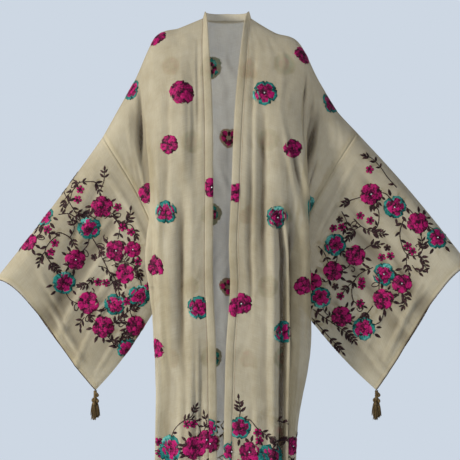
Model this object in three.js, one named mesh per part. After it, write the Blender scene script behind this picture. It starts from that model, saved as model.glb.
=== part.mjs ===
// Open-front kimono, hollow as it is worn: back, fronts, wide sleeves, bands, cuff edges and tassels.
// Millimetres. +X is the wearer's left, -Y is in front, +Z is up. The origin is the base of the neck.
import * as THREE from 'three';

// ---- driving dimensions ----
const clothThickness = 1.6;
const edgingThickness = 2.4;
const seamGap = 0.3;
const cornerGap = 5.2;
const foldGap = 2;
const neckHalfWidth = 62;
const neckDepth = 62;
const neckRise = 4;
const bandStand = 18;
const underarm = { out: 150, y: 30, z: -690 };
const armholeBow = 27;
const armholeHalfDepth = 50;
const armholeRound = { top: 0.14, footFrom: 0.3 };
const bodyLength = 1370;
const sideDip = 70;
const armRadius = 38;
const sleeveRound = { top: 0.1, footFrom: 0.94 };
const sleeveNarrowing = { from: 0.08, to: 0.62, share: 0.2 };
const sleeveLength = 480;
const frontShortfall = 7;
const foldStart = 0.3;
const cuffForward = -30;
const cornerForward = -8;
const cuffEdgeWidth = 2.6;
const tassel = { seat: 1.15, cordLength: 20, cordRadius: 3, length: 60, topRadius: 5, footRadius: 15 };

// ---- how finely the cloth is divided ----
const armholeSteps = 11;
const skirtSteps = 12;
const frontSteps = 14;
const neckSteps = 2;
const sleeveSteps = 11;

// Each side's own sizes: [out, z] of the armhole's top, the cuff's top and the sleeve's lower corner.
// armRise and edgeSag bow the sleeve's upper and lower edges, cuffHollow draws its cuff in,
// and shoulderDrop lowers the middle of the shoulder line.
const sides = {
  right: {
    sign: -1, armholeTop: [322, -304], cuffTop: [598, -676], corner: [340, -960],
    armRise: -7, edgeSag: 34, cuffHollow: 34, shoulderDrop: 4,
  },
  left: {
    sign: 1, armholeTop: [338, -294], cuffTop: [626, -640], corner: [386, -960],
    armRise: 11, edgeSag: 26, cuffHollow: 28, shoulderDrop: 18,
  },
};

// Half the front opening at each level (0 shoulder, 1 underarm, 2 hem), to the band's inner edge.
const opening = [
  { at: 0, right: 57, left: 57 },
  { at: 0.1, right: 47, left: 38 },
  { at: 0.35, right: 36, left: 20 },
  { at: 0.65, right: 34, left: 11 },
  { at: 0.85, right: 35, left: 5 },
  { at: 1, right: 34, left: 8 },
  { at: 1.25, right: 27, left: -3 },
  { at: 2, right: 24, left: -12 },
];

// The band's width at each level, as a step from its seam: towards the middle, forwards and up.
const bandReach = [
  { at: 0, inward: 5, forward: 0, up: bandStand },
  { at: 0.04, inward: 10, forward: 2, up: 15 },
  { at: 0.1, inward: 15, forward: 4, up: 9 },
  { at: 0.2, inward: 19, forward: 2, up: 2 },
  { at: 0.4, inward: 20, forward: 0, up: 0 },
  { at: 2, inward: 20, forward: 0, up: 0 },
];

// Where the stations of a level lie: across, from the neck point (0) to the armhole or side seam (1).
const stations = { middle: -0.22, edge: 0, chest: 0.25, side: 0.5, arm: 0.75, tuck: 0.88, seam: 1 };
const frontStations = ['edge', 'chest', 'side', 'arm', 'tuck', 'seam'];

// The shoulder line: [out, y, z] at each station; its far end is the armhole's top.
const shoulderLine = {
  edge: [62, 0, 4],
  chest: [122, -2, -18],
  side: [184, -4, -42],
  arm: [240, -4, -160],
  tuck: [281, -3, -232],
};

// How much wider each side's flank stands at each level.
const flank = [
  { at: 0, right: 0, left: 0 },
  { at: 0.65, right: 0, left: 2 },
  { at: 1, right: 0, left: 8 },
  { at: 1.25, right: -2, left: 12 },
  { at: 1.6, right: 0, left: -6 },
  { at: 2, right: 6, left: -8 },
];

// Plan of the front at each level: y at the edge, then [out, y] at the other stations.
const frontLevels = [
  {
    at: 0, edge: 0, chest: [122, -2],
    side: [184, -4], arm: [240, -4], tuck: [281, -3], seam: [322, 0],
  },
  {
    at: 0.1, edge: -62, chest: [120, -70],
    side: [186, -58], arm: [234, -42], tuck: [266, -40], seam: [296, -38],
  },
  {
    at: 0.35, edge: -112, chest: [114, -122],
    side: [186, -94], arm: [216, -50], tuck: [226, -46], seam: [237, -44],
  },
  {
    at: 0.65, edge: -128, chest: [112, -132],
    side: [184, -102], arm: [196, -54], tuck: [190, -42], seam: [185, -28],
  },
  {
    at: 1, edge: -128, chest: [110, -130],
    side: [182, -98], arm: [188, -48], tuck: [158, -8], seam: [150, 30],
  },
  {
    at: 1.45, edge: -124, chest: [106, -128],
    side: [174, -98], arm: [180, -44], tuck: [156, -8], seam: [150, 28],
  },
  {
    at: 2, edge: -120, chest: [108, -126],
    side: [178, -98], arm: [184, -42], tuck: [166, -10], seam: [160, 25],
  },
];

// Plan of the back at each level: [out, y] at each station.
const backLevels = [
  {
    at: 0, middle: [0, 62], edge: [62, 0], chest: [122, -2],
    side: [184, -4], arm: [240, -4], tuck: [281, -3], seam: [322, 0],
  },
  {
    at: 0.1, middle: [0, 84], edge: [62, 78], chest: [122, 68],
    side: [186, 52], arm: [234, 42], tuck: [266, 42], seam: [296, 40],
  },
  {
    at: 0.35, middle: [0, 100], edge: [62, 106], chest: [122, 100],
    side: [184, 84], arm: [220, 66], tuck: [228, 62], seam: [237, 56],
  },
  {
    at: 0.65, middle: [0, 104], edge: [62, 112], chest: [122, 108],
    side: [176, 98], arm: [194, 84], tuck: [190, 72], seam: [185, 60],
  },
  {
    at: 1, middle: [0, 106], edge: [62, 114], chest: [120, 112],
    side: [172, 102], arm: [186, 86], tuck: [158, 64], seam: [150, 30],
  },
  {
    at: 1.45, middle: [0, 108], edge: [62, 118], chest: [122, 116],
    side: [170, 104], arm: [180, 84], tuck: [156, 62], seam: [150, 28],
  },
  {
    at: 2, middle: [0, 112], edge: [66, 124], chest: [130, 122],
    side: [176, 106], arm: [186, 84], tuck: [168, 62], seam: [160, 25],
  },
];

// The large folds. across: where its top and its foot lie; from, to: its levels; out: how far it stands
// proud (a hollow is negative); lean: how far it falls towards the seam; half: half its width.
const folds = {
  front_right: [
    { across: [0.14, 0.12], from: 0.02, to: 0.75, out: -8, lean: 0, half: 0.12 },
    { across: [0.24, 0.3], from: 0.5, to: 1.7, out: -13, lean: 0, half: 0.12 },
    { across: [0.58, 0.6], from: 0.6, to: 1.15, out: 14, lean: 0, half: 0.12 },
    { across: [0.74, 0.72], from: 0.04, to: 0.85, out: -15, lean: 0, half: 0.12 },
    { across: [0.4, 0.42], from: 1.1, to: 2.6, out: -16, lean: 0, half: 0.12 },
    { across: [0.08, 0.16], from: 1.2, to: 2.6, out: -12, lean: 0, half: 0.12 },
    { across: [0.72, 0.7], from: 1, to: 2.6, out: -22, lean: 0, half: 0.13 },
  ],
  front_left: [
    { across: [0.2, 0.16], from: 0.2, to: 0.95, out: -11, lean: 0, half: 0.14 },
    { across: [0.3, 0.38], from: 0.6, to: 2.6, out: 8, lean: 15, half: 0.12 },
    { across: [0.42, 0.5], from: 0.6, to: 2.6, out: -16, lean: -10, half: 0.12 },
    { across: [0.5, 0.62], from: 0.3, to: 1.5, out: 12, lean: 5, half: 0.12 },
    { across: [0.7, 0.68], from: 0.04, to: 0.8, out: -17, lean: 0, half: 0.11 },
    { across: [0.76, 0.74], from: 1, to: 2.6, out: -22, lean: 0, half: 0.13 },
  ],
  back_right: [
    { across: [0.02, 0.06], from: 0.4, to: 2.6, out: 12, lean: 4, half: 0.13 },
    { across: [0.24, 0.26], from: 0.3, to: 2.6, out: -20, lean: 0, half: 0.13 },
    { across: [0.46, 0.44], from: 0.8, to: 2.6, out: 10, lean: 6, half: 0.12 },
    { across: [0.7, 0.68], from: 0.1, to: 2.6, out: -20, lean: 0, half: 0.13 },
  ],
  back_left: [
    { across: [0.06, 0.02], from: 0.5, to: 2.6, out: -13, lean: 0, half: 0.13 },
    { across: [0.3, 0.27], from: 0.35, to: 2.6, out: 13, lean: 6, half: 0.14 },
    { across: [0.5, 0.52], from: 0.7, to: 2.6, out: -18, lean: 0, half: 0.12 },
    { across: [0.74, 0.72], from: 0.1, to: 2.6, out: -16, lean: 0, half: 0.12 },
  ],
};

// The sleeves' large folds: down from the arm (0) to the lower edge (1) at the armhole and at the cuff.
const sleeveFolds = {
  right: [
    { face: -1, down: [0.3, 0.5], from: 0, to: 1.3, out: -9, half: 0.16 },
    { face: -1, down: [0.75, 0.82], from: 0.1, to: 1.3, out: 6, half: 0.14 },
    { face: 1, down: [0.35, 0.4], from: 0, to: 1.3, out: -8, half: 0.16 },
    { face: 1, down: [0.7, 0.62], from: 0.2, to: 1.3, out: 6, half: 0.14 },
  ],
  left: [
    { face: -1, down: [0.36, 0.4], from: 0.1, to: 1.3, out: -8, half: 0.15 },
    { face: -1, down: [0.66, 0.78], from: 0, to: 1.3, out: 6, half: 0.15 },
    { face: 1, down: [0.3, 0.46], from: 0, to: 1.3, out: -8, half: 0.16 },
    { face: 1, down: [0.72, 0.7], from: 0.1, to: 1.3, out: 6, half: 0.14 },
  ],
};

const finish = {
  cloth: { color: 0xcdc3a4, roughness: 0.9, metalness: 0 },
  band: { color: 0xc4b997, roughness: 0.9, metalness: 0 },
  edging: { color: 0x5a4a33, roughness: 0.8, metalness: 0 },
  cord: { color: 0x7d6a45, roughness: 0.7, metalness: 0 },
};

// ---- helpers ----
const mix = (a, b, share) => a + (b - a) * share;
const clamp01 = (value) => Math.min(1, Math.max(0, value));

function ease(start, end, value) {
  const share = clamp01((value - start) / (end - start));
  return share * share * (3 - 2 * share);
}

// A smooth curve through values that stand at places along it.
function through(places, values, at) {
  const last = places.length - 1;
  const found = places.findIndex((place, k) => k > 0 && at <= place);
  const k = found < 0 ? last : found;
  const slope = (i) => {
    const before = Math.max(0, i - 1);
    const after = Math.min(last, i + 1);
    return (values[after] - values[before]) / (places[after] - places[before]);
  };
  const step = places[k] - places[k - 1];
  const t = (at - places[k - 1]) / step;
  const rest = 1 - t;
  const ends = values[k - 1] * (1 + 2 * t) * rest * rest + values[k] * t * t * (3 - 2 * t);
  return ends + step * (slope(k - 1) * t * rest * rest - slope(k) * t * t * rest);
}

// Levels crowd together near the shoulder, where the cloth turns over it.
const root = (level) => Math.sqrt(Math.max(0, level));

function atLevel(rows, value, level) {
  return through(rows.map((row) => root(row.at)), rows.map(value), root(level));
}

function levelHeight(topHeight, across, level) {
  if (level <= 1) {
    return mix(topHeight, underarm.z, level);
  }
  const hem = -bodyLength - sideDip * clamp01(across) ** 2;
  return mix(underarm.z, hem, level - 1);
}

// ---- seam lines that two pieces share ----
function shoulderPoint(sideName, across) {
  const side = sides[sideName];
  if (across < 0) {
    const turn = (1 - across / stations.middle) * Math.PI / 2;
    const rise = neckRise * (2 - Math.sin(turn));
    const out = neckHalfWidth * Math.sin(turn);
    return new THREE.Vector3(side.sign * out, neckDepth * Math.cos(turn), rise);
  }
  const line = { ...shoulderLine, seam: [side.armholeTop[0], 0, side.armholeTop[1]] };
  const places = frontStations.map((name) => stations[name]);
  const part = (axis) => through(places, frontStations.map((name) => line[name][axis]), across);
  const drop = side.shoulderDrop * Math.sin(Math.PI * Math.min(1, across / 0.8));
  return new THREE.Vector3(side.sign * part(0), part(1), part(2) - drop);
}

function armholeHalf(down) {
  const top = Math.sqrt(1 - (1 - Math.min(1, down / armholeRound.top)) ** 2);
  const foot = Math.sqrt(1 - clamp01((down - armholeRound.footFrom) / (1 - armholeRound.footFrom)) ** 2);
  return armholeHalfDepth * top * foot;
}

function armholePoint(sideName, down, face) {
  const side = sides[sideName];
  const out = mix(side.armholeTop[0], underarm.out, down) - armholeBow * Math.sin(Math.PI * down);
  const y = underarm.y * down ** 1.5 + face * armholeHalf(down);
  return new THREE.Vector3(side.sign * out, y, mix(side.armholeTop[1], underarm.z, down));
}

function sideSeamPoint(sideName, level) {
  const out = atLevel(frontLevels, (row) => row.seam[0], level);
  const y = atLevel(frontLevels, (row) => row.seam[1], level);
  return new THREE.Vector3(sides[sideName].sign * out, y, levelHeight(0, 1, level));
}

function outerSeamPoint(sideName, level, face) {
  return level <= 1 ? armholePoint(sideName, level, face) : sideSeamPoint(sideName, level);
}

// ---- the fronts and the back ----
function bandStep(level) {
  const part = (name) => atLevel(bandReach, (row) => row[name], level);
  return { inward: part('inward'), forward: part('forward'), up: part('up') };
}

function frontEdgeOut(sideName, level) {
  return atLevel(opening, (row) => row[sideName], level) + bandStep(level).inward;
}

function planPoint(sideName, face, across, level) {
  const front = face < 0;
  const names = front ? frontStations : Object.keys(stations);
  const rows = front ? frontLevels : backLevels;
  const values = names.map((name) => {
    if (front && name === 'edge') {
      return [frontEdgeOut(sideName, level), atLevel(rows, (row) => row.edge, level)];
    }
    const wider = name === 'side' || name === 'arm' ? atLevel(flank, (row) => row[sideName], level) : 0;
    const [out, y] = [0, 1].map((axis) => atLevel(rows, (row) => row[name][axis], level));
    return [out + wider, y];
  });
  const places = names.map((name) => stations[name]);
  const [out, y] = [0, 1].map((axis) => through(places, values.map((value) => value[axis]), across));
  return new THREE.Vector3(sides[sideName].sign * out, y, 0);
}

// The panel without its folds, drawn to the seams that it shares.
function smoothPanelPoint(sideName, face, across, level) {
  const point = planPoint(sideName, face, across, level);
  const seamMiss = (row) => outerSeamPoint(sideName, row, face).sub(planPoint(sideName, face, 1, row));
  const outer = clamp01(across) ** 3;
  const topMiss = shoulderPoint(sideName, across).sub(planPoint(sideName, face, across, 0));
  topMiss.addScaledVector(seamMiss(0), -outer);
  point.addScaledVector(seamMiss(level), outer);
  point.addScaledVector(topMiss, (1 - clamp01(level / 0.2)) ** 2);
  point.z = levelHeight(shoulderPoint(sideName, across).z, across, level);
  return point;
}

// A fold deepens from where it starts and dies away towards its end.
function foldRun(fold, at) {
  return ease(fold.from, fold.from + foldStart, at) * (1 - ease(fold.to - foldStart, fold.to, at));
}

const bell = (distance) => (Math.abs(distance) < 1 ? (1 + Math.cos(Math.PI * distance)) / 2 : 0);

function foldedPanelPoint(sideName, face, across, level) {
  const point = smoothPanelPoint(sideName, face, across, level);
  const rows = folds[`${face < 0 ? 'front' : 'back'}_${sideName}`];
  const step = 0.02;
  const along = smoothPanelPoint(sideName, face, Math.min(1, across + step), level);
  along.sub(smoothPanelPoint(sideName, face, across - step, level)).setZ(0).normalize();
  const outward = new THREE.Vector3(along.y, -along.x, 0).multiplyScalar(-face * sides[sideName].sign);
  const calm = ease(0, 0.1, face < 0 ? across : 1) * ease(0, 0.12, 1 - across) * ease(0, 0.12, level);
  for (const fold of rows) {
    const share = clamp01((level - fold.from) / (fold.to - fold.from));
    const centre = mix(fold.across[0], fold.across[1], share);
    const strength = calm * bell((across - centre) / fold.half) * foldRun(fold, level);
    point.addScaledVector(outward, fold.out * strength);
    point.addScaledVector(along, fold.lean * strength);
  }
  return point;
}

// ---- the sleeves ----
function sleeveHalf(along, down) {
  const top = Math.sqrt(1 - (1 - Math.min(1, down / sleeveRound.top)) ** 2);
  const foot = Math.sqrt(1 - clamp01((down - sleeveRound.footFrom) / (1 - sleeveRound.footFrom)) ** 2);
  const narrowed = mix(1, sleeveNarrowing.share, ease(sleeveNarrowing.from, sleeveNarrowing.to, down));
  const hang = armRadius * top * foot * narrowed;
  return mix(armholeHalf(down), hang, ease(0, 0.5, along));
}

function sleevePoint(sideName, along, down, face) {
  const side = sides[sideName];
  const hollow = side.cuffHollow * Math.sin(Math.PI * down ** 0.45) ** 1.5;
  const shortfall = hollow + (face < 0 ? frontShortfall * Math.sin(Math.PI * down) : 0);
  const reach = along - (shortfall / sleeveLength) * along ** 3;
  const rise = Math.sin(Math.PI * reach);
  const topOut = mix(side.armholeTop[0], side.cuffTop[0], reach);
  const topZ = mix(side.armholeTop[1], side.cuffTop[1], reach) + side.armRise * rise;
  const footOut = mix(underarm.out, side.corner[0], reach) + side.edgeSag * rise / 3;
  const footZ = mix(underarm.z, side.corner[1], reach) - side.edgeSag * rise;
  const bow = armholeBow * Math.sin(Math.PI * down) * (1 - ease(0, 0.7, along));
  const footY = mix(underarm.y, cornerForward, along);
  const middle = mix(cuffForward * along, footY, down ** mix(1.5, 1, along));
  let y = middle + face * sleeveHalf(along, down);
  for (const fold of sleeveFolds[sideName]) {
    const share = clamp01((along - fold.from) / (fold.to - fold.from));
    const centre = mix(fold.down[0], fold.down[1], share);
    const strength = bell((down - centre) / fold.half) * foldRun(fold, along) * ease(0, 0.15, along);
    y += fold.face === face ? face * fold.out * strength : 0;
  }
  return new THREE.Vector3(side.sign * (mix(topOut, footOut, down) - bow), y, mix(topZ, footZ, down));
}

// ---- grids of points: rows down or along, columns across or around ----
const armholeDowns = Array.from({ length: armholeSteps + 1 }, (_, k) => {
  return (1 - Math.cos(Math.PI * k / armholeSteps)) / 2;
});
const skirtLevels = Array.from({ length: skirtSteps }, (_, k) => 1 + (k + 1) / skirtSteps);
const levels = [...armholeDowns, ...skirtLevels];
const frontPlaces = Array.from({ length: frontSteps + 1 }, (_, k) => k / frontSteps);
const neckPlaces = Array.from({ length: neckSteps }, (_, k) => stations.middle * (1 - k / neckSteps));

function frontGrid(sideName) {
  return levels.map((level) => frontPlaces.map((across) => foldedPanelPoint(sideName, -1, across, level)));
}

function backGrid() {
  const places = [...neckPlaces, ...frontPlaces];
  return levels.map((level) => {
    const right = places.map((across) => foldedPanelPoint('right', 1, across, level)).reverse();
    const left = places.slice(1).map((across) => foldedPanelPoint('left', 1, across, level));
    return [...right, ...left];
  });
}

function sleeveRing(sideName, along) {
  const front = armholeDowns.map((down) => sleevePoint(sideName, along, down, -1));
  const back = armholeDowns.slice(1, -1).map((down) => sleevePoint(sideName, along, down, 1)).reverse();
  return [...front, ...back];
}

function sleeveGrid(sideName) {
  return Array.from({ length: sleeveSteps + 1 }, (_, k) => sleeveRing(sideName, k / sleeveSteps));
}

// The edging carries the sleeve's surface on, past its cuff.
function cuffEdgeGrid(sideName) {
  const sleeve = sleeveGrid(sideName);
  const last = sleeve[sleeveSteps];
  const outer = last.map((point, k) => {
    const step = point.clone().sub(sleeve[sleeveSteps - 1][k]).setLength(cuffEdgeWidth);
    return point.clone().add(step);
  });
  return [last, outer];
}

function bandGrid(sideName) {
  const sign = sides[sideName].sign;
  return levels.map((level) => {
    const seam = foldedPanelPoint(sideName, -1, 0, level);
    const step = bandStep(level);
    const inner = seam.clone().add(new THREE.Vector3(-sign * step.inward, -step.forward, step.up));
    return [inner, seam];
  });
}

function neckBandGrid() {
  const places = [...neckPlaces, 0];
  const line = [
    ...places.map((across) => shoulderPoint('right', across)).reverse(),
    ...places.slice(1).map((across) => shoulderPoint('left', across)),
  ];
  const inner = line.map((point) => {
    const share = 1 - bandReach[0].inward / neckHalfWidth;
    return new THREE.Vector3(point.x * share, point.y * share, point.z + bandStand);
  });
  return [inner, line];
}

// ---- from grids to closed walls ----
function gridNormals(panel) {
  const { grid, round } = panel;
  const columns = grid[0].length;
  const normals = grid.map((row) => row.map(() => new THREE.Vector3()));
  const lastColumn = round ? columns : columns - 1;
  for (let i = 0; i < grid.length - 1; i += 1) {
    for (let j = 0; j < lastColumn; j += 1) {
      const next = (j + 1) % columns;
      const diagonal = grid[i + 1][next].clone().sub(grid[i][j]);
      const other = grid[i + 1][j].clone().sub(grid[i][next]);
      const normal = diagonal.cross(other).multiplyScalar(panel.flip ? -1 : 1);
      for (const [row, column] of [[i, j], [i, next], [i + 1, j], [i + 1, next]]) {
        normals[row][column].add(normal);
      }
    }
  }
  return normals.map((row) => row.map((normal) => normal.normalize()));
}

const placeKey = (point) => point.toArray().map((value) => Math.round(value * 100)).join(' ');

// Pieces that meet at a seam share one direction there, so that their walls meet edge to edge.
function shareSeams(panels) {
  const meeting = new Map();
  for (const panel of panels) {
    panel.normals = gridNormals(panel);
    panel.grid.forEach((row, i) => row.forEach((point, j) => {
      const key = placeKey(point);
      const places = meeting.get(key) ?? [];
      places.push({ panel, i, j });
      meeting.set(key, places);
    }));
  }
  for (const places of meeting.values()) {
    const shared = new THREE.Vector3();
    places.forEach(({ panel, i, j }) => shared.add(panel.normals[i][j]));
    shared.normalize();
    places.forEach(({ panel, i, j }) => {
      const slant = shared.dot(panel.normals[i][j]);
      panel.offsets ??= panel.grid.map((row) => row.map(() => null));
      panel.meets ??= panel.grid.map((row) => row.map(() => 1));
      panel.meets[i][j] = new Set(places.map((place) => place.panel.name)).size;
      panel.offsets[i][j] = shared.clone().divideScalar(Math.max(0.9, slant));
      panel.slants ??= panel.grid.map((row) => row.map(() => 1));
      panel.slants[i][j] = slant;
    });
  }
}

// Where a piece meets others, its edge is drawn back by half the seam's gap.
function drawnBack(panel, i, j) {
  const { grid, round, meets } = panel;
  const point = grid[i][j].clone();
  if (meets[i][j] < 2) {
    return point;
  }
  const gap = (meets[i][j] > 2 ? cornerGap : seamGap) + foldGap * (1 - panel.slants[i][j]);
  const inner = [];
  if (i === 0 || i === grid.length - 1) {
    inner.push(grid[i === 0 ? 1 : i - 1][j]);
  }
  if (!round && (j === 0 || j === grid[0].length - 1)) {
    inner.push(grid[i][j === 0 ? 1 : j - 1]);
  }
  inner.forEach((neighbour) => {
    point.addScaledVector(neighbour.clone().sub(grid[i][j]).normalize(), gap / 2 + 0.02);
  });
  return point;
}

function wall(panel) {
  const { grid, round, offsets } = panel;
  const rows = grid.length;
  const columns = grid[0].length;
  const half = panel.thickness / 2;
  const positions = [];
  for (const side of [1, -1]) {
    for (let i = 0; i < rows; i += 1) {
      for (let j = 0; j < columns; j += 1) {
        positions.push(...drawnBack(panel, i, j).addScaledVector(offsets[i][j], side * half).toArray());
      }
    }
  }
  const spot = (i, j, inner) => (inner ? rows * columns : 0) + i * columns + (j % columns);
  const index = [];
  const quad = (a, b, c, d) => {
    index.push(...(panel.flip ? [a, b, c, a, c, d] : [a, c, b, a, d, c]));
  };
  const lastColumn = round ? columns : columns - 1;
  for (let i = 0; i < rows - 1; i += 1) {
    for (let j = 0; j < lastColumn; j += 1) {
      quad(spot(i, j), spot(i + 1, j), spot(i + 1, j + 1), spot(i, j + 1));
      quad(spot(i, j, 1), spot(i, j + 1, 1), spot(i + 1, j + 1, 1), spot(i + 1, j, 1));
    }
  }
  for (let j = 0; j < lastColumn; j += 1) {
    quad(spot(0, j), spot(0, j + 1), spot(0, j + 1, 1), spot(0, j, 1));
    quad(spot(rows - 1, j), spot(rows - 1, j, 1), spot(rows - 1, j + 1, 1), spot(rows - 1, j + 1));
  }
  for (let i = 0; i < rows - 1 && !round; i += 1) {
    quad(spot(i, 0), spot(i, 0, 1), spot(i + 1, 0, 1), spot(i + 1, 0));
    const end = columns - 1;
    quad(spot(i, end), spot(i + 1, end), spot(i + 1, end, 1), spot(i, end, 1));
  }
  const geometry = new THREE.BufferGeometry();
  geometry.setAttribute('position', new THREE.Float32BufferAttribute(positions, 3));
  geometry.setIndex(index);
  return geometry;
}

// ---- tassels ----
function tasselCord(corner) {
  const top = corner.clone().setZ(corner.z - tassel.seat);
  const foot = top.clone().setZ(top.z - tassel.cordLength);
  const section = new THREE.Shape().absarc(0, 0, tassel.cordRadius, 0, 2 * Math.PI);
  const extrudePath = new THREE.LineCurve3(top, foot);
  return new THREE.ExtrudeGeometry(section, { steps: 2, curveSegments: 8, bevelEnabled: false, extrudePath });
}

function tasselBunch(corner) {
  const top = corner.z - tassel.seat - tassel.cordLength - seamGap;
  const profile = [
    [0, -tassel.length],
    [tassel.footRadius - 2, -tassel.length],
    [tassel.footRadius, -tassel.length + 8],
    [tassel.topRadius + 3, -20],
    [tassel.topRadius + 2, -8],
    [tassel.topRadius, 0],
    [0, 0],
  ];
  const geometry = new THREE.LatheGeometry(profile.map(([r, z]) => new THREE.Vector2(r, z)), 12);
  geometry.rotateX(Math.PI / 2);
  geometry.translate(corner.x, corner.y, top);
  return geometry;
}

// ---- the garment ----
const group = new THREE.Group();

function addPiece(name, geometry, look) {
  const mesh = new THREE.Mesh(geometry, new THREE.MeshStandardMaterial(look));
  mesh.name = name;
  group.add(mesh);
}

const panels = [
  { name: 'back', grid: backGrid(), thickness: clothThickness, look: finish.cloth },
  { name: 'band_neck', grid: neckBandGrid(), thickness: clothThickness, look: finish.band },
];
for (const [name, side] of Object.entries(sides)) {
  const flip = side.sign > 0;
  const cloth = { thickness: clothThickness, look: finish.cloth };
  const around = { round: true, flip: !flip };
  panels.push({ name: `front_${name}`, grid: frontGrid(name), flip, ...cloth });
  panels.push({ name: `band_${name}`, grid: bandGrid(name), flip, ...cloth, look: finish.band });
  panels.push({ name: `sleeve_${name}`, grid: sleeveGrid(name), ...around, ...cloth });
  const edging = { thickness: edgingThickness, look: finish.edging };
  panels.push({ name: `cuff_edge_${name}`, grid: cuffEdgeGrid(name), ...around, ...edging });
}
shareSeams(panels);
panels.forEach((panel) => addPiece(panel.name, wall(panel), panel.look));
for (const name of Object.keys(sides)) {
  const corner = cuffEdgeGrid(name)[1][armholeSteps];
  addPiece(`tassel_cord_${name}`, tasselCord(corner), finish.cord);
  addPiece(`tassel_${name}`, tasselBunch(corner), finish.cord);
}

export default group;
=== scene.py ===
import math

import bpy
import numpy as np
from mathutils import Matrix, Vector


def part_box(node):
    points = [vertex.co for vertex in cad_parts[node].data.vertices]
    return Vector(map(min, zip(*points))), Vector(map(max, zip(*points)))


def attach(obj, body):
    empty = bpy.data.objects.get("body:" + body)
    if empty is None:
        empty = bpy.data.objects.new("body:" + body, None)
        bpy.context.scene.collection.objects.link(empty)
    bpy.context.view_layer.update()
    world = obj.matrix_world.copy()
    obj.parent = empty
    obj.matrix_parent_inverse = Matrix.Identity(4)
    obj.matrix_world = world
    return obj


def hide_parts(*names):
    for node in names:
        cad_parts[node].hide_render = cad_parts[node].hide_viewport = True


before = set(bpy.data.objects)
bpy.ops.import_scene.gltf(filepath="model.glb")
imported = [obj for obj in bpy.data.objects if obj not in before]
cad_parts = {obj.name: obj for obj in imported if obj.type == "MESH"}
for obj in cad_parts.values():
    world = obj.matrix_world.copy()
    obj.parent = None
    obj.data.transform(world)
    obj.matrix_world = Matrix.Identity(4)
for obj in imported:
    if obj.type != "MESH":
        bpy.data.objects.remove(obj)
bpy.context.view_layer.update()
print("frame loaded")

# The cut, in millimetres, as the solids have it. +X is the wearer's left, -Y the front.
cut = {
    "neckHalfWidth": 62, "neckDepth": 62, "neckRise": 4, "bandStand": 18,
    "underarmOut": 150, "underarmY": 30, "underarmZ": -690,
    "armholeBow": 27, "armholeHalfDepth": 50, "armholeTop": 0.14, "armholeFoot": 0.3,
    "bodyLength": 1370, "sideDip": 70, "armRadius": 38, "sleeveTop": 0.1, "sleeveFoot": 0.94,
    "narrowFrom": 0.08, "narrowTo": 0.62, "narrowShare": 0.2, "sleeveLength": 480,
    "frontShortfall": 7, "foldStart": 0.3, "cuffForward": -30, "cornerForward": -8,
    # shares of a cloth over which its folds begin, and how far down the shoulder line shapes a panel
    "calmOpening": 0.1, "calmSeam": 0.12, "calmArmhole": 0.15, "topBlend": 0.2,
}
sides = {
    "right": {
        "sign": -1, "armholeTop": (322, -304), "cuffTop": (598, -676), "corner": (340, -960),
        "armRise": -7, "edgeSag": 34, "cuffHollow": 34, "shoulderDrop": 4,
    },
    "left": {
        "sign": 1, "armholeTop": (338, -294), "cuffTop": (626, -640), "corner": (386, -960),
        "armRise": 11, "edgeSag": 26, "cuffHollow": 28, "shoulderDrop": 18,
    },
}
# level (0 shoulder, 1 underarm, 2 hem), right, left
opening = [(0, 57, 57), (0.1, 47, 38), (0.35, 36, 20), (0.65, 34, 11), (0.85, 35, 5), (1, 34, 8),
           (1.25, 27, -3), (2, 24, -12)]
flank = [(0, 0, 0), (0.65, 0, 2), (1, 0, 8), (1.25, -2, 12), (1.6, 0, -6), (2, 6, -8)]
# level, inward, forward, up
bandReach = [(0, 5, 0, 18), (0.04, 10, 2, 15), (0.1, 15, 4, 9), (0.2, 19, 2, 2), (0.4, 20, 0, 0),
             (2, 20, 0, 0)]
# places across for the columns middle, edge, chest, side, arm, tuck, seam
stations = [-0.22, 0, 0.25, 0.5, 0.75, 0.88, 1]
shoulderLine = [(62, 0, 4), (122, -2, -18), (184, -4, -42), (240, -4, -160), (281, -3, -232)]
frontPlan = [
    (0, (0, 0), (122, -2), (184, -4), (240, -4), (281, -3), (322, 0)),
    (0.1, (0, -62), (120, -70), (186, -58), (234, -42), (266, -40), (296, -38)),
    (0.35, (0, -112), (114, -122), (186, -94), (216, -50), (226, -46), (237, -44)),
    (0.65, (0, -128), (112, -132), (184, -102), (196, -54), (190, -42), (185, -28)),
    (1, (0, -128), (110, -130), (182, -98), (188, -48), (158, -8), (150, 30)),
    (1.45, (0, -124), (106, -128), (174, -98), (180, -44), (156, -8), (150, 28)),
    (2, (0, -120), (108, -126), (178, -98), (184, -42), (166, -10), (160, 25)),
]
backPlan = [
    (0, (0, 62), (62, 0), (122, -2), (184, -4), (240, -4), (281, -3), (322, 0)),
    (0.1, (0, 84), (62, 78), (122, 68), (186, 52), (234, 42), (266, 42), (296, 40)),
    (0.35, (0, 100), (62, 106), (122, 100), (184, 84), (220, 66), (228, 62), (237, 56)),
    (0.65, (0, 104), (62, 112), (122, 108), (176, 98), (194, 84), (190, 72), (185, 60)),
    (1, (0, 106), (62, 114), (120, 112), (172, 102), (186, 86), (158, 64), (150, 30)),
    (1.45, (0, 108), (62, 118), (122, 116), (170, 104), (180, 84), (156, 62), (150, 28)),
    (2, (0, 112), (66, 124), (130, 122), (176, 106), (186, 84), (168, 62), (160, 25)),
]
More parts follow.
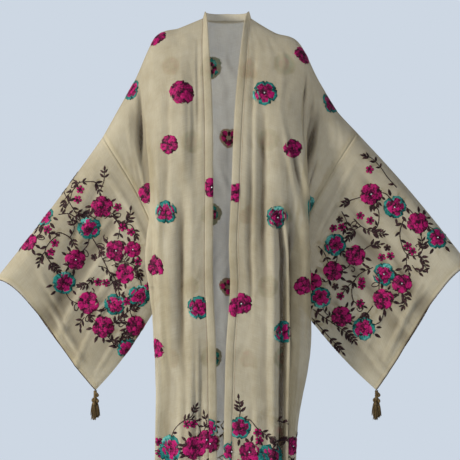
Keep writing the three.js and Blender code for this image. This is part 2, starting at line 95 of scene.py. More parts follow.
# across at the top and the foot, from level, to level, out, lean towards the seam, half width
folds = {
    "front_right": [
        (0.14, 0.12, 0.02, 0.75, -8, 0, 0.12), (0.24, 0.3, 0.5, 1.7, -13, 0, 0.12),
        (0.58, 0.6, 0.6, 1.15, 14, 0, 0.12), (0.74, 0.72, 0.04, 0.85, -15, 0, 0.12),
        (0.4, 0.42, 1.1, 2.6, -16, 0, 0.12), (0.08, 0.16, 1.2, 2.6, -12, 0, 0.12),
        (0.72, 0.7, 1, 2.6, -22, 0, 0.13),
    ],
    "front_left": [
        (0.2, 0.16, 0.2, 0.95, -11, 0, 0.14), (0.3, 0.38, 0.6, 2.6, 8, 15, 0.12),
        (0.42, 0.5, 0.6, 2.6, -16, -10, 0.12), (0.5, 0.62, 0.3, 1.5, 12, 5, 0.12),
        (0.7, 0.68, 0.04, 0.8, -17, 0, 0.11), (0.76, 0.74, 1, 2.6, -22, 0, 0.13),
    ],
    "back_right": [
        (0.02, 0.06, 0.4, 2.6, 12, 4, 0.13), (0.24, 0.26, 0.3, 2.6, -20, 0, 0.13),
        (0.46, 0.44, 0.8, 2.6, 10, 6, 0.12), (0.7, 0.68, 0.1, 2.6, -20, 0, 0.13),
    ],
    "back_left": [
        (0.06, 0.02, 0.5, 2.6, -13, 0, 0.13), (0.3, 0.27, 0.35, 2.6, 13, 6, 0.14),
        (0.5, 0.52, 0.7, 2.6, -18, 0, 0.12), (0.74, 0.72, 0.1, 2.6, -16, 0, 0.12),
    ],
}
# The smaller creases, placed over the large folds; same columns.
creases = {
    "front_right": [
        (0.66, 0.86, 0.01, 0.44, -17, 0, 0.042), (0.8, 0.94, 0.04, 0.34, 7, 0, 0.03),
        (0.9, 0.97, 0.06, 0.3, -5, 0, 0.03), (0.6, 0.66, 0.1, 0.5, 6, 0, 0.035),
        (0.045, 0.07, 0.01, 0.55, -8, 0, 0.035), (0.27, 0.29, 0.6, 1.35, -8, 0, 0.05),
        (0.53, 0.56, 0.62, 1.3, -7, 0, 0.04), (0.36, 0.4, 0.12, 0.9, -5, 0, 0.05),
        (0.46, 0.43, 0.3, 1.5, 4, 0, 0.045), (0.3, 0.27, 1.25, 2.5, 4, 0, 0.05),
        (0.5, 0.52, 1.2, 2.5, 6, 2, 0.04), (0.2, 0.23, 1.45, 2.6, -5, 0, 0.045),
        (0.4, 0.42, 1.5, 2.6, -5, 0, 0.04), (0.62, 0.6, 1.35, 2.6, -8, 0, 0.045),
        (0.62, 0.78, 0.22, 0.6, -7, 0, 0.045), (0.88, 0.86, 1.15, 2.6, 7, 0, 0.05),
        (0.1, 0.12, 1.1, 2.4, 5, 0, 0.035), (0.14, 0.17, 0.15, 0.62, 3, 0, 0.04),
    ],
    "front_left": [
        (0.59, 0.53, 0.01, 0.52, -17, 0, 0.04), (0.165, 0.195, 0.2, 1.1, -6, 0, 0.06),
        (0.31, 0.47, 0.3, 0.72, 9, 0, 0.034), (0.4, 0.68, 0.42, 0.82, 8, 0, 0.036),
        (0.36, 0.55, 0.36, 0.76, -8, 0, 0.036), (0.235, 0.29, 0.62, 2.5, 8, 0, 0.028),
        (0.295, 0.345, 0.6, 2.6, -19, -5, 0.042), (0.76, 0.72, 0.12, 0.6, -12, 2, 0.04),
        (0.66, 0.68, 0.16, 0.8, 6, 0, 0.04), (0.84, 0.8, 0.24, 0.66, -8, 0, 0.04),
        (0.06, 0.1, 0.05, 1.2, -6, 0, 0.04), (0.34, 0.3, 0.08, 0.4, 5, 0, 0.045),
        (0.46, 0.52, 1.0, 2.2, 7, 3, 0.04), (0.62, 0.66, 0.9, 2.6, -10, 0, 0.045),
        (0.16, 0.14, 1.3, 2.6, 6, 0, 0.04), (0.08, 0.1, 1.5, 2.6, -7, 0, 0.03),
        (0.42, 0.44, 1.3, 2.6, -8, 0, 0.035), (0.86, 0.85, 1.2, 2.6, 7, 0, 0.05),
        (0.5, 0.72, 0.1, 0.46, -6, 0, 0.045),
    ],
    "back_right": [
        (0.12, 0.15, 0.5, 1.6, -5, 0, 0.05), (0.35, 0.36, 0.25, 1.3, 4, 0, 0.05),
        (0.56, 0.6, 0.3, 0.9, -5, 0, 0.05), (0.6, 0.57, 1.1, 2.6, 5, 0, 0.05),
        (0.8, 0.78, 0.2, 0.7, -6, 0, 0.045), (0.15, 0.12, 1.4, 2.6, 4, 0, 0.045),
        (0.36, 0.34, 1.3, 2.6, -5, 0, 0.045), (0.85, 0.84, 1.2, 2.6, 4, 0, 0.05),
    ],
    "back_left": [
        (0.15, 0.12, 0.3, 1.2, 4, 0, 0.05), (0.4, 0.42, 0.3, 1.1, -5, 0, 0.05),
        (0.6, 0.62, 0.25, 0.9, 5, 0, 0.05), (0.2, 0.18, 1.2, 2.6, -5, 0, 0.045),
        (0.4, 0.38, 1.3, 2.6, 5, 0, 0.045), (0.62, 0.63, 1.2, 2.6, 4, 0, 0.045),
        (0.82, 0.8, 0.2, 0.75, -6, 0, 0.045), (0.87, 0.85, 1.3, 2.6, -4, 0, 0.045),
    ],
}
# face, down at the armhole and at the cuff, from along, to along, out, half width
sleeveFolds = {
    "right": [
        (-1, 0.3, 0.5, 0, 1.3, -9, 0.16), (-1, 0.75, 0.82, 0.1, 1.3, 6, 0.14),
        (1, 0.35, 0.4, 0, 1.3, -8, 0.16), (1, 0.7, 0.62, 0.2, 1.3, 6, 0.14),
    ],
    "left": [
        (-1, 0.36, 0.4, 0.1, 1.3, -8, 0.15), (-1, 0.66, 0.78, 0, 1.3, 6, 0.15),
        (1, 0.3, 0.46, 0, 1.3, -8, 0.16), (1, 0.72, 0.7, 0.1, 1.3, 6, 0.14),
    ],
}
sleeveCreases = {
    "right": [
        (-1, 0.12, 0.3, 0.02, 0.7, -5, 0.045), (-1, 0.2, 0.42, 0.1, 0.95, 5, 0.035),
        (-1, 0.4, 0.6, 0.1, 1.1, 5, 0.035), (-1, 0.5, 0.7, 0.05, 0.9, 5.5, 0.04),
        (-1, 0.62, 0.86, 0.3, 1.3, 5, 0.03), (-1, 0.84, 0.94, 0.1, 1, 4, 0.03),
        (-1, 0.3, 0.36, 0, 0.5, 5, 0.03), (-1, 0.7, 0.74, 0, 0.6, 4.5, 0.03),
        (1, 0.2, 0.34, 0.05, 0.9, 5, 0.04), (1, 0.46, 0.55, 0.1, 1.1, 5, 0.04),
        (1, 0.8, 0.75, 0.15, 1, 4.5, 0.035), (1, 0.64, 0.68, 0.2, 0.8, 4.5, 0.03),
    ],
    "left": [
        (-1, 0.14, 0.22, 0.02, 0.8, -5, 0.045), (-1, 0.24, 0.5, 0.12, 1, 5, 0.035),
        (-1, 0.44, 0.6, 0.15, 1.1, 5, 0.035), (-1, 0.56, 0.66, 0.02, 0.8, 5.5, 0.035),
        (-1, 0.8, 0.9, 0.2, 1.2, 5, 0.03), (-1, 0.34, 0.38, 0, 0.55, 5, 0.03),
        (-1, 0.7, 0.8, 0.05, 0.7, 4.5, 0.03), (1, 0.16, 0.3, 0.05, 0.9, 5, 0.04),
        (1, 0.5, 0.6, 0.1, 1.1, 5, 0.04), (1, 0.85, 0.8, 0.2, 1, 4.5, 0.035),
        (1, 0.7, 0.66, 0.1, 0.8, 4.5, 0.03),
    ],
}
# face, along at the top and at the foot, from down, to down, out, half width
crossCreases = {
    "right": [
        (-1, 0.87, 0.92, 0.25, 0.9, 6, 0.045), (-1, 0.76, 0.84, 0.1, 0.6, 4.5, 0.04),
        (-1, 0.1, 0.07, 0.04, 0.8, 5, 0.03), (-1, 0.17, 0.2, 0.1, 0.6, 5, 0.028),
        (-1, 0.26, 0.2, 0.3, 0.9, 4.5, 0.035), (-1, 0.5, 0.62, 0.5, 0.95, 4.5, 0.035),
        (1, 0.86, 0.9, 0.3, 0.9, 5, 0.045), (1, 0.12, 0.1, 0.05, 0.8, 5, 0.035),
    ],
    "left": [
        (-1, 0.84, 0.93, 0.2, 0.92, 6, 0.045), (-1, 0.7, 0.74, 0.5, 0.95, 5, 0.035),
        (-1, 0.09, 0.1, 0.04, 0.7, 5, 0.03), (-1, 0.16, 0.14, 0.2, 0.8, 5, 0.03),
        (-1, 0.92, 0.88, 0.15, 0.6, 4.5, 0.035), (-1, 0.4, 0.3, 0.55, 0.95, 4.5, 0.04),
        (1, 0.88, 0.9, 0.3, 0.9, 5, 0.045), (1, 0.1, 0.12, 0.05, 0.8, 5, 0.035),
    ],
}


def mix(a, b, share):
    return a + (b - a) * share


def clamp01(value):
    return np.clip(value, 0, 1)


def ease(start, end, value):
    share = clamp01((np.asarray(value, float) - start) / (end - start))
    return share * share * (3 - 2 * share)


def bell(distance):
    return np.where(np.abs(distance) < 1, (1 + np.cos(np.pi * distance)) / 2, 0)


# How much each row of a table counts at each place, on a smooth curve through them all.
def weightsAt(places, at):
    places = np.asarray(places, float)
    at = np.asarray(at, float)
    last = len(places) - 1
    k = np.clip(np.searchsorted(places, at), 1, last)
    step = places[k] - places[k - 1]
    t = (at - places[k - 1]) / step
    rest = 1 - t
    weights = np.zeros((len(at), last + 1))
    rows = np.arange(len(at))
    np.add.at(weights, (rows, k - 1), (1 + 2 * t) * rest**2)
    np.add.at(weights, (rows, k), t * t * (3 - 2 * t))
    for i, share in ((k - 1, step * t * rest**2), (k, -step * t * t * rest)):
        before, after = np.maximum(0, i - 1), np.minimum(last, i + 1)
        span = places[after] - places[before]
        np.add.at(weights, (rows, after), share / span)
        np.add.at(weights, (rows, before), -share / span)
    return weights


def byLevel(table, level):
    places = np.sqrt([row[0] for row in table])
    return weightsAt(places, np.sqrt(np.maximum(0, level)))


def column(table, index, level):
    return byLevel(table, level) @ np.array([row[index] for row in table], float)


def levelHeight(topHeight, across, level):
    hem = -cut["bodyLength"] - cut["sideDip"] * clamp01(across) ** 2
    above = mix(topHeight, cut["underarmZ"], level)
    return np.where(level <= 1, above, mix(cut["underarmZ"], hem, level - 1))


def shoulderPoint(sideName, across):
    side = sides[sideName]
    turn = (1 - np.minimum(across, 0) / stations[0]) * np.pi / 2
    rise = cut["neckRise"] * (2 - np.sin(turn))
    neck = np.column_stack([
        side["sign"] * cut["neckHalfWidth"] * np.sin(turn), cut["neckDepth"] * np.cos(turn), rise,
    ])
    line = np.array([*shoulderLine, (side["armholeTop"][0], 0, side["armholeTop"][1])], float)
    point = weightsAt(stations[1:], np.maximum(across, 0)) @ line
    point[:, 0] *= side["sign"]
    point[:, 2] -= side["shoulderDrop"] * np.sin(np.pi * np.minimum(1, across / 0.8))
    return np.where((across < 0)[:, None], neck, point)


def armholeHalf(down):
    top = np.sqrt(1 - (1 - np.minimum(1, down / cut["armholeTop"])) ** 2)
    foot = np.sqrt(1 - clamp01((down - cut["armholeFoot"]) / (1 - cut["armholeFoot"])) ** 2)
    return cut["armholeHalfDepth"] * top * foot


def outerSeamPoint(sideName, level, face):
    side = sides[sideName]
    down = clamp01(level)
    out = mix(side["armholeTop"][0], cut["underarmOut"], down) - cut["armholeBow"] * np.sin(np.pi * down)
    y = cut["underarmY"] * down**1.5 + face * armholeHalf(down)
    hole = np.column_stack([side["sign"] * out, y, mix(side["armholeTop"][1], cut["underarmZ"], down)])
    seams = [(row[0], *row[-1]) for row in frontPlan]
    seam = np.column_stack([
        side["sign"] * column(seams, 1, level), column(seams, 2, level),
        levelHeight(0, np.ones_like(level), level),
    ])
    return np.where((level <= 1)[:, None], hole, seam)


def bandStep(level):
    return [column(bandReach, k, level) for k in (1, 2, 3)]


def planPoint(sideName, face, across, level):
    table = frontPlan if face < 0 else backPlan
    places = stations[1:] if face < 0 else stations
    grid = np.array([row[1:] for row in table], float)
    values = np.einsum("pl,lsa->psa", byLevel(table, level), grid)
    which = 1 if sideName == "right" else 2
    if face < 0:
        values[:, 0, 0] = column(opening, which, level) + bandStep(level)[0]
    for station in (-4, -3):
        values[:, station, 0] += column(flank, which, level)
    plan = np.einsum("ps,psa->pa", weightsAt(places, across), values)
    return np.column_stack([sides[sideName]["sign"] * plan[:, 0], plan[:, 1], np.zeros(len(plan))])


def smoothPanelPoint(sideName, face, across, level):
    point = planPoint(sideName, face, across, level)
    one, none = np.ones_like(level), np.zeros_like(level)
    outer = (clamp01(across) ** 3)[:, None]
    top = shoulderPoint(sideName, across)
    topMiss = top - planPoint(sideName, face, across, none)
    topMiss -= (outerSeamPoint(sideName, none, face) - planPoint(sideName, face, one, none)) * outer
    point += (outerSeamPoint(sideName, level, face) - planPoint(sideName, face, one, level)) * outer
    point += topMiss * ((1 - clamp01(level / cut["topBlend"])) ** 2)[:, None]
    point[:, 2] = levelHeight(top[:, 2], across, level)
    return point


def foldRun(start, end, at):
    deepen = cut["foldStart"]
    return ease(start, start + deepen, at) * (1 - ease(end - deepen, end, at))


def panelPoint(sideName, face, across, level):
    across, level = np.asarray(across, float), np.asarray(level, float)
    point = smoothPanelPoint(sideName, face, across, level)
    along = smoothPanelPoint(sideName, face, np.minimum(1, across + 0.02), level)
    along -= smoothPanelPoint(sideName, face, across - 0.02, level)
    along[:, 2] = 0
    along /= np.linalg.norm(along, axis=1, keepdims=True)
    outward = np.column_stack([along[:, 1], -along[:, 0], 0 * across]) * -face * sides[sideName]["sign"]
    calm = ease(0, cut["calmOpening"], across if face < 0 else 1)
    calm = calm * ease(0, cut["calmSeam"], 1 - across) * ease(0, cut["calmSeam"], level)
    name = f"{'front' if face < 0 else 'back'}_{sideName}"
    for top, foot, start, end, out, lean, half in folds[name] + creases[name]:
        centre = mix(top, foot, clamp01((level - start) / (end - start)))
        strength = (calm * bell((across - centre) / half) * foldRun(start, end, level))[:, None]
        point += outward * out * strength + along * lean * strength
    return point


def sleevePoint(sideName, along, down, face):
    side = sides[sideName]
    along, down, face = (np.asarray(value, float) for value in (along, down, face))
    hollow = side["cuffHollow"] * np.sin(np.pi * down**0.45) ** 1.5
    shortfall = hollow + np.where(face < 0, cut["frontShortfall"] * np.sin(np.pi * down), 0)
    reach = along - shortfall / cut["sleeveLength"] * along**3
    rise = np.sin(np.pi * reach)
    topOut = mix(side["armholeTop"][0], side["cuffTop"][0], reach)
    topZ = mix(side["armholeTop"][1], side["cuffTop"][1], reach) + side["armRise"] * rise
    footOut = mix(cut["underarmOut"], side["corner"][0], reach) + side["edgeSag"] * rise / 3
    footZ = mix(cut["underarmZ"], side["corner"][1], reach) - side["edgeSag"] * rise
    bow = cut["armholeBow"] * np.sin(np.pi * down) * (1 - ease(0, 0.7, along))
    footY = mix(cut["underarmY"], cut["cornerForward"], along)
    middle = mix(cut["cuffForward"] * along, footY, down ** mix(1.5, 1, along))
    top = np.sqrt(1 - (1 - np.minimum(1, down / cut["sleeveTop"])) ** 2)
    foot = np.sqrt(1 - clamp01((down - cut["sleeveFoot"]) / (1 - cut["sleeveFoot"])) ** 2)
    narrowed = mix(1, cut["narrowShare"], ease(cut["narrowFrom"], cut["narrowTo"], down))
    hang = cut["armRadius"] * top * foot * narrowed
    y = middle + face * mix(armholeHalf(down), hang, ease(0, 0.5, along))
    for where, first, last, start, end, out, half in sleeveFolds[sideName] + sleeveCreases[sideName]:
        centre = mix(first, last, clamp01((along - start) / (end - start)))
        strength = bell((down - centre) / half) * foldRun(start, end, along)
        strength = strength * ease(0, cut["calmArmhole"], along)
        y += np.where(face == where, face * out * strength, 0)
    for where, first, last, start, end, out, half in crossCreases[sideName]:
        centre = mix(first, last, clamp01((down - start) / (end - start)))
        strength = bell((along - centre) / half) * foldRun(start, end, down)
        y += np.where(face == where, face * out * strength, 0)
    return np.column_stack([side["sign"] * (mix(topOut, footOut, down) - bow), y, mix(topZ, footZ, down)])


# Small unevenness of the voile, in mm: many soft waves with a fixed seed, mostly running down the cloth.
ripples = {
    "waves": 16, "wide": (16, 60), "tall": (90, 320), "sway": 1.3, "fade": 0.4, "calming": 3,
    "bends": [(14, 61, 1), (7, 23, 2)],  # how far, over what length, shifted by how many seeds
}
fullTurn = 6.28


def rumple(u, v, seed, size):
    generator = np.random.default_rng(seed)
    height = np.zeros_like(u)
    bentU = u
    for reach, length, shift in ripples["bends"]:
        bentU = bentU + reach * np.sin(v / length + shift * seed)
    for _ in range(ripples["waves"]):
        wide, tall = generator.uniform(*ripples["wide"]), generator.uniform(*ripples["tall"])
        phase = generator.uniform(0, fullTurn, 2)
        down = v * fullTurn / tall
        wave = np.sin(bentU * fullTurn / wide + phase[0] + ripples["sway"] * np.sin(down + phase[1]))
        strength = 1 - ripples["fade"] + ripples["fade"] * np.sin(down + phase[0])
        height += wave * wide / ripples["wide"][1] * strength
    return height * size / ripples["calming"]


def arcs(points, axis):
    lengths = np.linalg.norm(np.diff(points, axis=axis), axis=2)
    return np.insert(np.cumsum(lengths, axis=axis), 0, 0, axis=axis)


def gridNormals(points, outwardHint):
    normal = np.cross(np.gradient(points, axis=0), np.gradient(points, axis=1))
    normal /= np.maximum(np.linalg.norm(normal, axis=2, keepdims=True), 1e-9)
    return normal if (normal * outwardHint).sum() > 0 else -normal


# A cloth is a grid of points with its normals and its own flat coordinates, u across and v down, in mm.
# A ring's grid goes on past its join by pad columns at both ends.
def makeCloth(points, outwardHint, zeroColumn, ripple, calm, seed, pad=0):
    cloth = {"pad": pad, "columns": points.shape[1]}
    if pad:
        take = np.arange(-pad, points.shape[1] + pad + 1) % points.shape[1]
        points, outwardHint, calm = points[:, take], outwardHint[:, take], calm[:, take]
        zeroColumn += pad
    for _ in range(2):  # the second round measures the rippled cloth
        cloth["u"] = arcs(points, 1)
        cloth["u"] = cloth["u"] - cloth["u"][:, [zeroColumn]]
        cloth["v"] = arcs(points, 0)
        normal = gridNormals(points, outwardHint)
        if pad:  # both ends of the ring have the same normals
            normal[:, pad] = normal[:, -pad - 1]
        cloth["points"], cloth["normals"] = points, normal
        if ripple:
            waves = rumple(cloth["u"], cloth["v"], seed, ripple)
            if pad:  # no ripple where the ring closes
                width = points.shape[1] - 2 * pad - 1
                blend = np.clip(np.arange(points.shape[1]) - pad, 0, width) / width
                waves *= (np.sin(np.pi * blend) ** 0.3)[None, :]
            points = points + normal * (waves * calm)[:, :, None]
            ripple = 0
    return cloth


# how many rows and columns each cloth has, and how tall its ripples are in mm
fine = {
    "armholeRows": 78, "skirtRows": 68, "frontColumns": 96, "neckColumns": 13, "sleeveRows": 92,
    "ringHalf": 74, "ringPad": 14, "bandColumns": 6, "neckBandRows": 5,
}
rippleHeights = {"front": 0.9, "back": 1.1, "sleeve": 0.8, "band": 0.25}
rippleSeeds = {"front_right": 5, "front_left": 3, "back": 8, "sleeve": 11, "band": 21}
hemStitchLevel = 1.9855

armholeLevels = (1 - np.cos(np.pi * np.arange(fine["armholeRows"] + 1) / fine["armholeRows"])) / 2
skirtLevels = 1 + np.arange(1, fine["skirtRows"] + 1) / fine["skirtRows"]
hemLevels = np.array([1.982, hemStitchLevel, 1.998])
levels = np.unique(np.concatenate([armholeLevels, skirtLevels, hemLevels]).round(5))
acrossPlaces = np.arange(fine["frontColumns"] + 1) / fine["frontColumns"]


def gridOf(rowPlaces, columnPlaces, pointAt):
    rows, columns = np.meshgrid(rowPlaces, columnPlaces, indexing="ij")
    return pointAt(rows.ravel(), columns.ravel()).reshape(*rows.shape, 3)


def panelCalm(levelRows, across, bothEnds):
    seam = ease(0, 0.06, 1 - np.abs(across))[None, :] * (1 if bothEnds else ease(0, 0.05, across)[None, :])
    return ease(0, 0.08, levelRows)[:, None] * seam


def facingY(points, way):
    return np.broadcast_to([0.0, way, 0.0], points.shape)


cloths = {}
for sideName in sides:
    name = f"front_{sideName}"
    points = gridOf(levels, acrossPlaces, lambda level, across: panelPoint(sideName, -1, across, level))
    calm = panelCalm(levels, acrossPlaces, False)
    cloths[name] = makeCloth(points, facingY(points, -1.0), 0, rippleHeights["front"], calm,
                             rippleSeeds[name])

neckPlaces = stations[0] * (1 - np.arange(fine["neckColumns"]) / fine["neckColumns"])
backPlaces = np.concatenate([neckPlaces, acrossPlaces])
halves = [gridOf(levels, backPlaces, lambda level, across: panelPoint(half, 1, across, level))
          for half in sides]
points = np.concatenate([halves[0][:, ::-1], halves[1][:, 1:]], axis=1)
signed = np.concatenate([-clamp01(backPlaces)[::-1], clamp01(backPlaces)[1:]])
calm = panelCalm(levels, signed, True)
cloths["back"] = makeCloth(points, facingY(points, 1.0), len(backPlaces) - 1, rippleHeights["back"], calm,
                           rippleSeeds["back"])

halfRing = (1 - np.cos(np.pi * np.arange(fine["ringHalf"] + 1) / fine["ringHalf"])) / 2
ringDown = np.concatenate([halfRing[::-1], halfRing[1:-1]])
ringFace = np.concatenate([-np.ones(fine["ringHalf"] + 1), np.ones(fine["ringHalf"] - 1)])
ringCalm = ease(0, 0.06, ringDown) * ease(0, 0.05, 1 - ringDown)
alongPlaces = np.arange(fine["sleeveRows"] + 1) / fine["sleeveRows"]
for sideName in sides:
    points = gridOf(alongPlaces, np.arange(len(ringDown)),
                    lambda along, ring: sleevePoint(sideName, along, ringDown[ring], ringFace[ring]))
    hint = np.zeros_like(points)
    hint[:, :, 1] = ringFace
    calm = ease(0, 0.12, alongPlaces)[:, None] * ringCalm[None, :]
    cloths[f"sleeve_{sideName}"] = makeCloth(points, hint, fine["ringHalf"], rippleHeights["sleeve"], calm,
                                             rippleSeeds["sleeve"], fine["ringPad"])

bandRound = 1.4  # how far the middle of the folded band stands out
for sideName, side in sides.items():
    seam = cloths[f"front_{sideName}"]["points"][:, 0]
    inward, forward, up = bandStep(levels)
    inner = seam + np.column_stack([-side["sign"] * inward, -forward, up])
    share = np.linspace(0, 1, fine["bandColumns"])
    points = inner[:, None] * (1 - share)[None, :, None] + seam[:, None] * share[None, :, None]
    points[:, :, 1] -= bandRound * np.sin(np.pi * share)[None, :]
    cloths[f"band_{sideName}"] = makeCloth(points, facingY(points, -1.0), 0, rippleHeights["band"],
                                           np.ones(points.shape[:2]), rippleSeeds["band"])

neckLine = np.concatenate([shoulderPoint("right", np.append(neckPlaces, 0))[::-1],
                           shoulderPoint("left", np.append(neckPlaces, 0))[1:]])
share = np.linspace(0, 1, fine["neckBandRows"])
closer = 1 - bandReach[0][1] / cut["neckHalfWidth"] * (1 - share)
points = neckLine[None, :] * np.stack([closer, closer, np.ones(fine["neckBandRows"])], 1)[:, None]
points[:, :, 2] += (cut["bandStand"] * (1 - share))[:, None]
hint = np.zeros_like(points)
hint[:, :, :2] = points[:, :, :2]
cloths["band_neck"] = makeCloth(points, hint, 0, 0, None, 0)
print("cloth laid out:", ", ".join(cloths))


# Screen colours of 0 to 255 as the linear ones that nodes take.
def srgb(*values):
    return tuple((v / 255 / 12.92 if v < 10.3 else ((v / 255 + 0.055) / 1.055) ** 2.4) for v in values)


def placed(name, data):
    obj = bpy.data.objects.new(name, data)
    bpy.context.scene.collection.objects.link(obj)
    return obj


def newMesh(name, vertices, faces, materials, smooth=True):
    mesh = bpy.data.meshes.new(name)
    mesh.from_pydata(vertices.tolist(), [], faces)
    mesh.polygons.foreach_set("use_smooth", [smooth] * len(mesh.polygons))
    for material in materials:
        mesh.materials.append(material)
    return placed(name, mesh)


def setUv(mesh, perLoop):
    layer = mesh.uv_layers.new(name="UVMap")
    layer.data.foreach_set("uv", np.asarray(perLoop, np.float32).ravel())


def setNumber(mesh, name, values):
    attribute = mesh.attributes.new(name, "FLOAT", "POINT")
    attribute.data.foreach_set("value", np.asarray(values, np.float32))


valleyRounds = 26


# How far a place lies below its surroundings, from -1 on a crest to 1 in a hollow of the full depth; the
# voile paints shade into its creases by it.
# The surroundings are the cloth smoothed out, more across its folds than along them.
def valleyOf(cloth, fullDepth):
    smooth = cloth["points"].copy()
    for _ in range(valleyRounds):
        padded = np.pad(smooth, ((1, 1), (1, 1), (0, 0)), mode="edge")
        smooth = (padded[1:-1, :-2] + padded[1:-1, 2:] + 2 * smooth) / 4
        padded = np.pad(smooth, ((1, 1), (0, 0), (0, 0)), mode="edge")
        smooth = (padded[:-2] + padded[2:] + 6 * smooth) / 8
    below = ((smooth - cloth["points"]) * cloth["normals"]).sum(2)
    return np.clip(below / fullDepth, -1, 1)


# The cloth's own thin closed shell, with its flat coordinates as UV in metres.
def shell(name, cloth, thickness, material, doubled, fullDepth):
    pad, columns = cloth["pad"], cloth["columns"]
    rows = cloth["points"].shape[0]
    span = slice(pad, pad + columns)
    points, normals = cloth["points"][:, span], cloth["normals"][:, span]
    vertices = np.concatenate([(points + way * thickness / 2 * normals).reshape(-1, 3) for way in (1, -1)])
    flat = np.stack([cloth["u"], cloth["v"]], 2)[:, pad:pad + columns + 1] / 1000
    last = columns if pad else columns - 1
    i, j = np.meshgrid(np.arange(rows - 1), np.arange(last), indexing="ij")
    i, j = i.ravel(), j.ravel()
    corners = [(i, j), (i + 1, j), (i + 1, j + 1), (i, j + 1)]
    index = np.stack([r * columns + c % columns for r, c in corners], 1)
    uv = np.stack([flat[r, c] for r, c in corners], 1)
    a, b, d = points[0, 0], points[1, 0], points[0, 1]
    if np.dot(np.cross(b - a, d - a), normals[0, 0]) < 0:
        index, uv = index[:, ::-1], uv[:, ::-1]
    offset = rows * columns
    faces = [index, index[:, ::-1] + offset]
    uvs = [uv, uv[:, ::-1]]
    # each free edge: the faces along it, and which of their corners lie on it
    edges = [(index[i == faceRow], index[i == faceRow] // columns == row)
             for faceRow, row in ((0, 0), (rows - 2, rows - 1))]
    if not pad:
        edges += [(index[j == faceColumn], index[j == faceColumn] % columns == column)
                  for faceColumn, column in ((0, 0), (columns - 2, columns - 1))]
    for found, on in edges:
        rim, rimUv = [], []
        for face, mask in zip(found, on):
            k = next(k for k in range(4) if mask[k] and mask[(k + 1) % 4])
            p, q = face[k], face[(k + 1) % 4]
            rim.append([q, p, p + offset, q + offset])
            rimUv.append([flat[n // columns, n % columns] for n in (q, p, p, q)])
        faces.append(np.array(rim))
        uvs.append(np.array(rimUv))
    obj = newMesh(name, vertices / 1000, np.concatenate(faces).tolist(), [material])
    setUv(obj.data, np.concatenate(uvs).reshape(-1, 2))
    setNumber(obj.data, "doubled", np.tile(doubled[:, span].ravel(), 2))
    setNumber(obj.data, "valley", np.tile(valleyOf(cloth, fullDepth)[:, span].ravel(), 2))
    return obj


# Adds a node with its inputs and settings, and gives back one of its outputs.
def addNode(tree, kind, inputs=None, take=0, **settings):
    node = tree.nodes.new(kind)
    for key, value in settings.items():
        setattr(node, key, value)
    for key, value in (inputs or {}).items():
        socket = node.inputs[key]
        if isinstance(value, bpy.types.NodeSocket):
            tree.links.new(value, socket)
        else:
            socket.default_value = value
    return node.outputs[take] if len(node.outputs) else None


def newMaterial(name):
    material = bpy.data.materials.new(name)
    material.use_nodes = True
    tree = material.node_tree
    tree.nodes.clear()
    return material, tree


def calc(tree, operation, a, b):
    return addNode(tree, "ShaderNodeMath", {0: a, 1: b}, operation=operation)


# The values added up, each times its weight.
def weighted(tree, *pairs):
    total = None
    for value, weight in pairs:
        part = value if weight == 1 else calc(tree, "MULTIPLY", value, weight)
        total = part if total is None else calc(tree, "ADD", total, part)
    return total


def objectPlace(tree):
    return addNode(tree, "ShaderNodeTexCoord", take="Object")


def flatPlace(tree):
    return addNode(tree, "ShaderNodeUVMap", uv_map="UVMap")


def attributeOf(tree, name):
    return addNode(tree, "ShaderNodeAttribute", take="Fac", attribute_name=name)


def noise(tree, vector, scale, detail=3, roughness=0.55):
    inputs = {"Vector": vector, "Scale": scale, "Detail": detail, "Roughness": roughness}
    return addNode(tree, "ShaderNodeTexNoise", inputs, "Fac")


def stretched(tree, vector, scale):
    return addNode(tree, "ShaderNodeMapping", {"Vector": vector, "Scale": scale})


waveRepeat = 0.314  # how long one ridge of a wave texture of scale 1 is


# Even ridges, one to each pitch in metres.
def ridges(tree, vector, pitch, axis, **inputs):
    inputs = {"Vector": vector, "Scale": waveRepeat / pitch, **inputs}
    return addNode(tree, "ShaderNodeTexWave", inputs, "Fac", bands_direction=axis)


def bumped(tree, height, strength, distance):
    return addNode(tree, "ShaderNodeBump", {"Height": height, "Strength": strength, "Distance": distance})


def ramp(tree, factor, stops):
    node = tree.nodes.new("ShaderNodeValToRGB")
    tree.links.new(factor, node.inputs["Fac"])
    elements = node.color_ramp.elements
    while len(elements) < len(stops):
        elements.new(0.5)
    for element, (place, colour) in zip(elements, stops):
        element.position = place
        element.color = (*srgb(*colour), 1)
    return node.outputs["Color"]


voile = {
    "cover": 0.51,  # how much of one face of the cloth the threads cover
    "doubledCover": 0.26, "troughCover": 0.2,
    "light": (226, 217, 190), "middle": (213, 203, 174), "dark": (194, 182, 149),
    # painted shade: the colour the cloth darkens towards in its creases, and how strongly
    "trough": (86, 69, 45), "troughDepth": 0.95,
    "threadPitch": 0.0011, "crumple": 1.9,
    "pressedFold": 0.868, "pressedWidth": 0.005,  # where a fold from storage runs across, and half its width
    "roughness": 0.82, "translucence": 0.22,
}


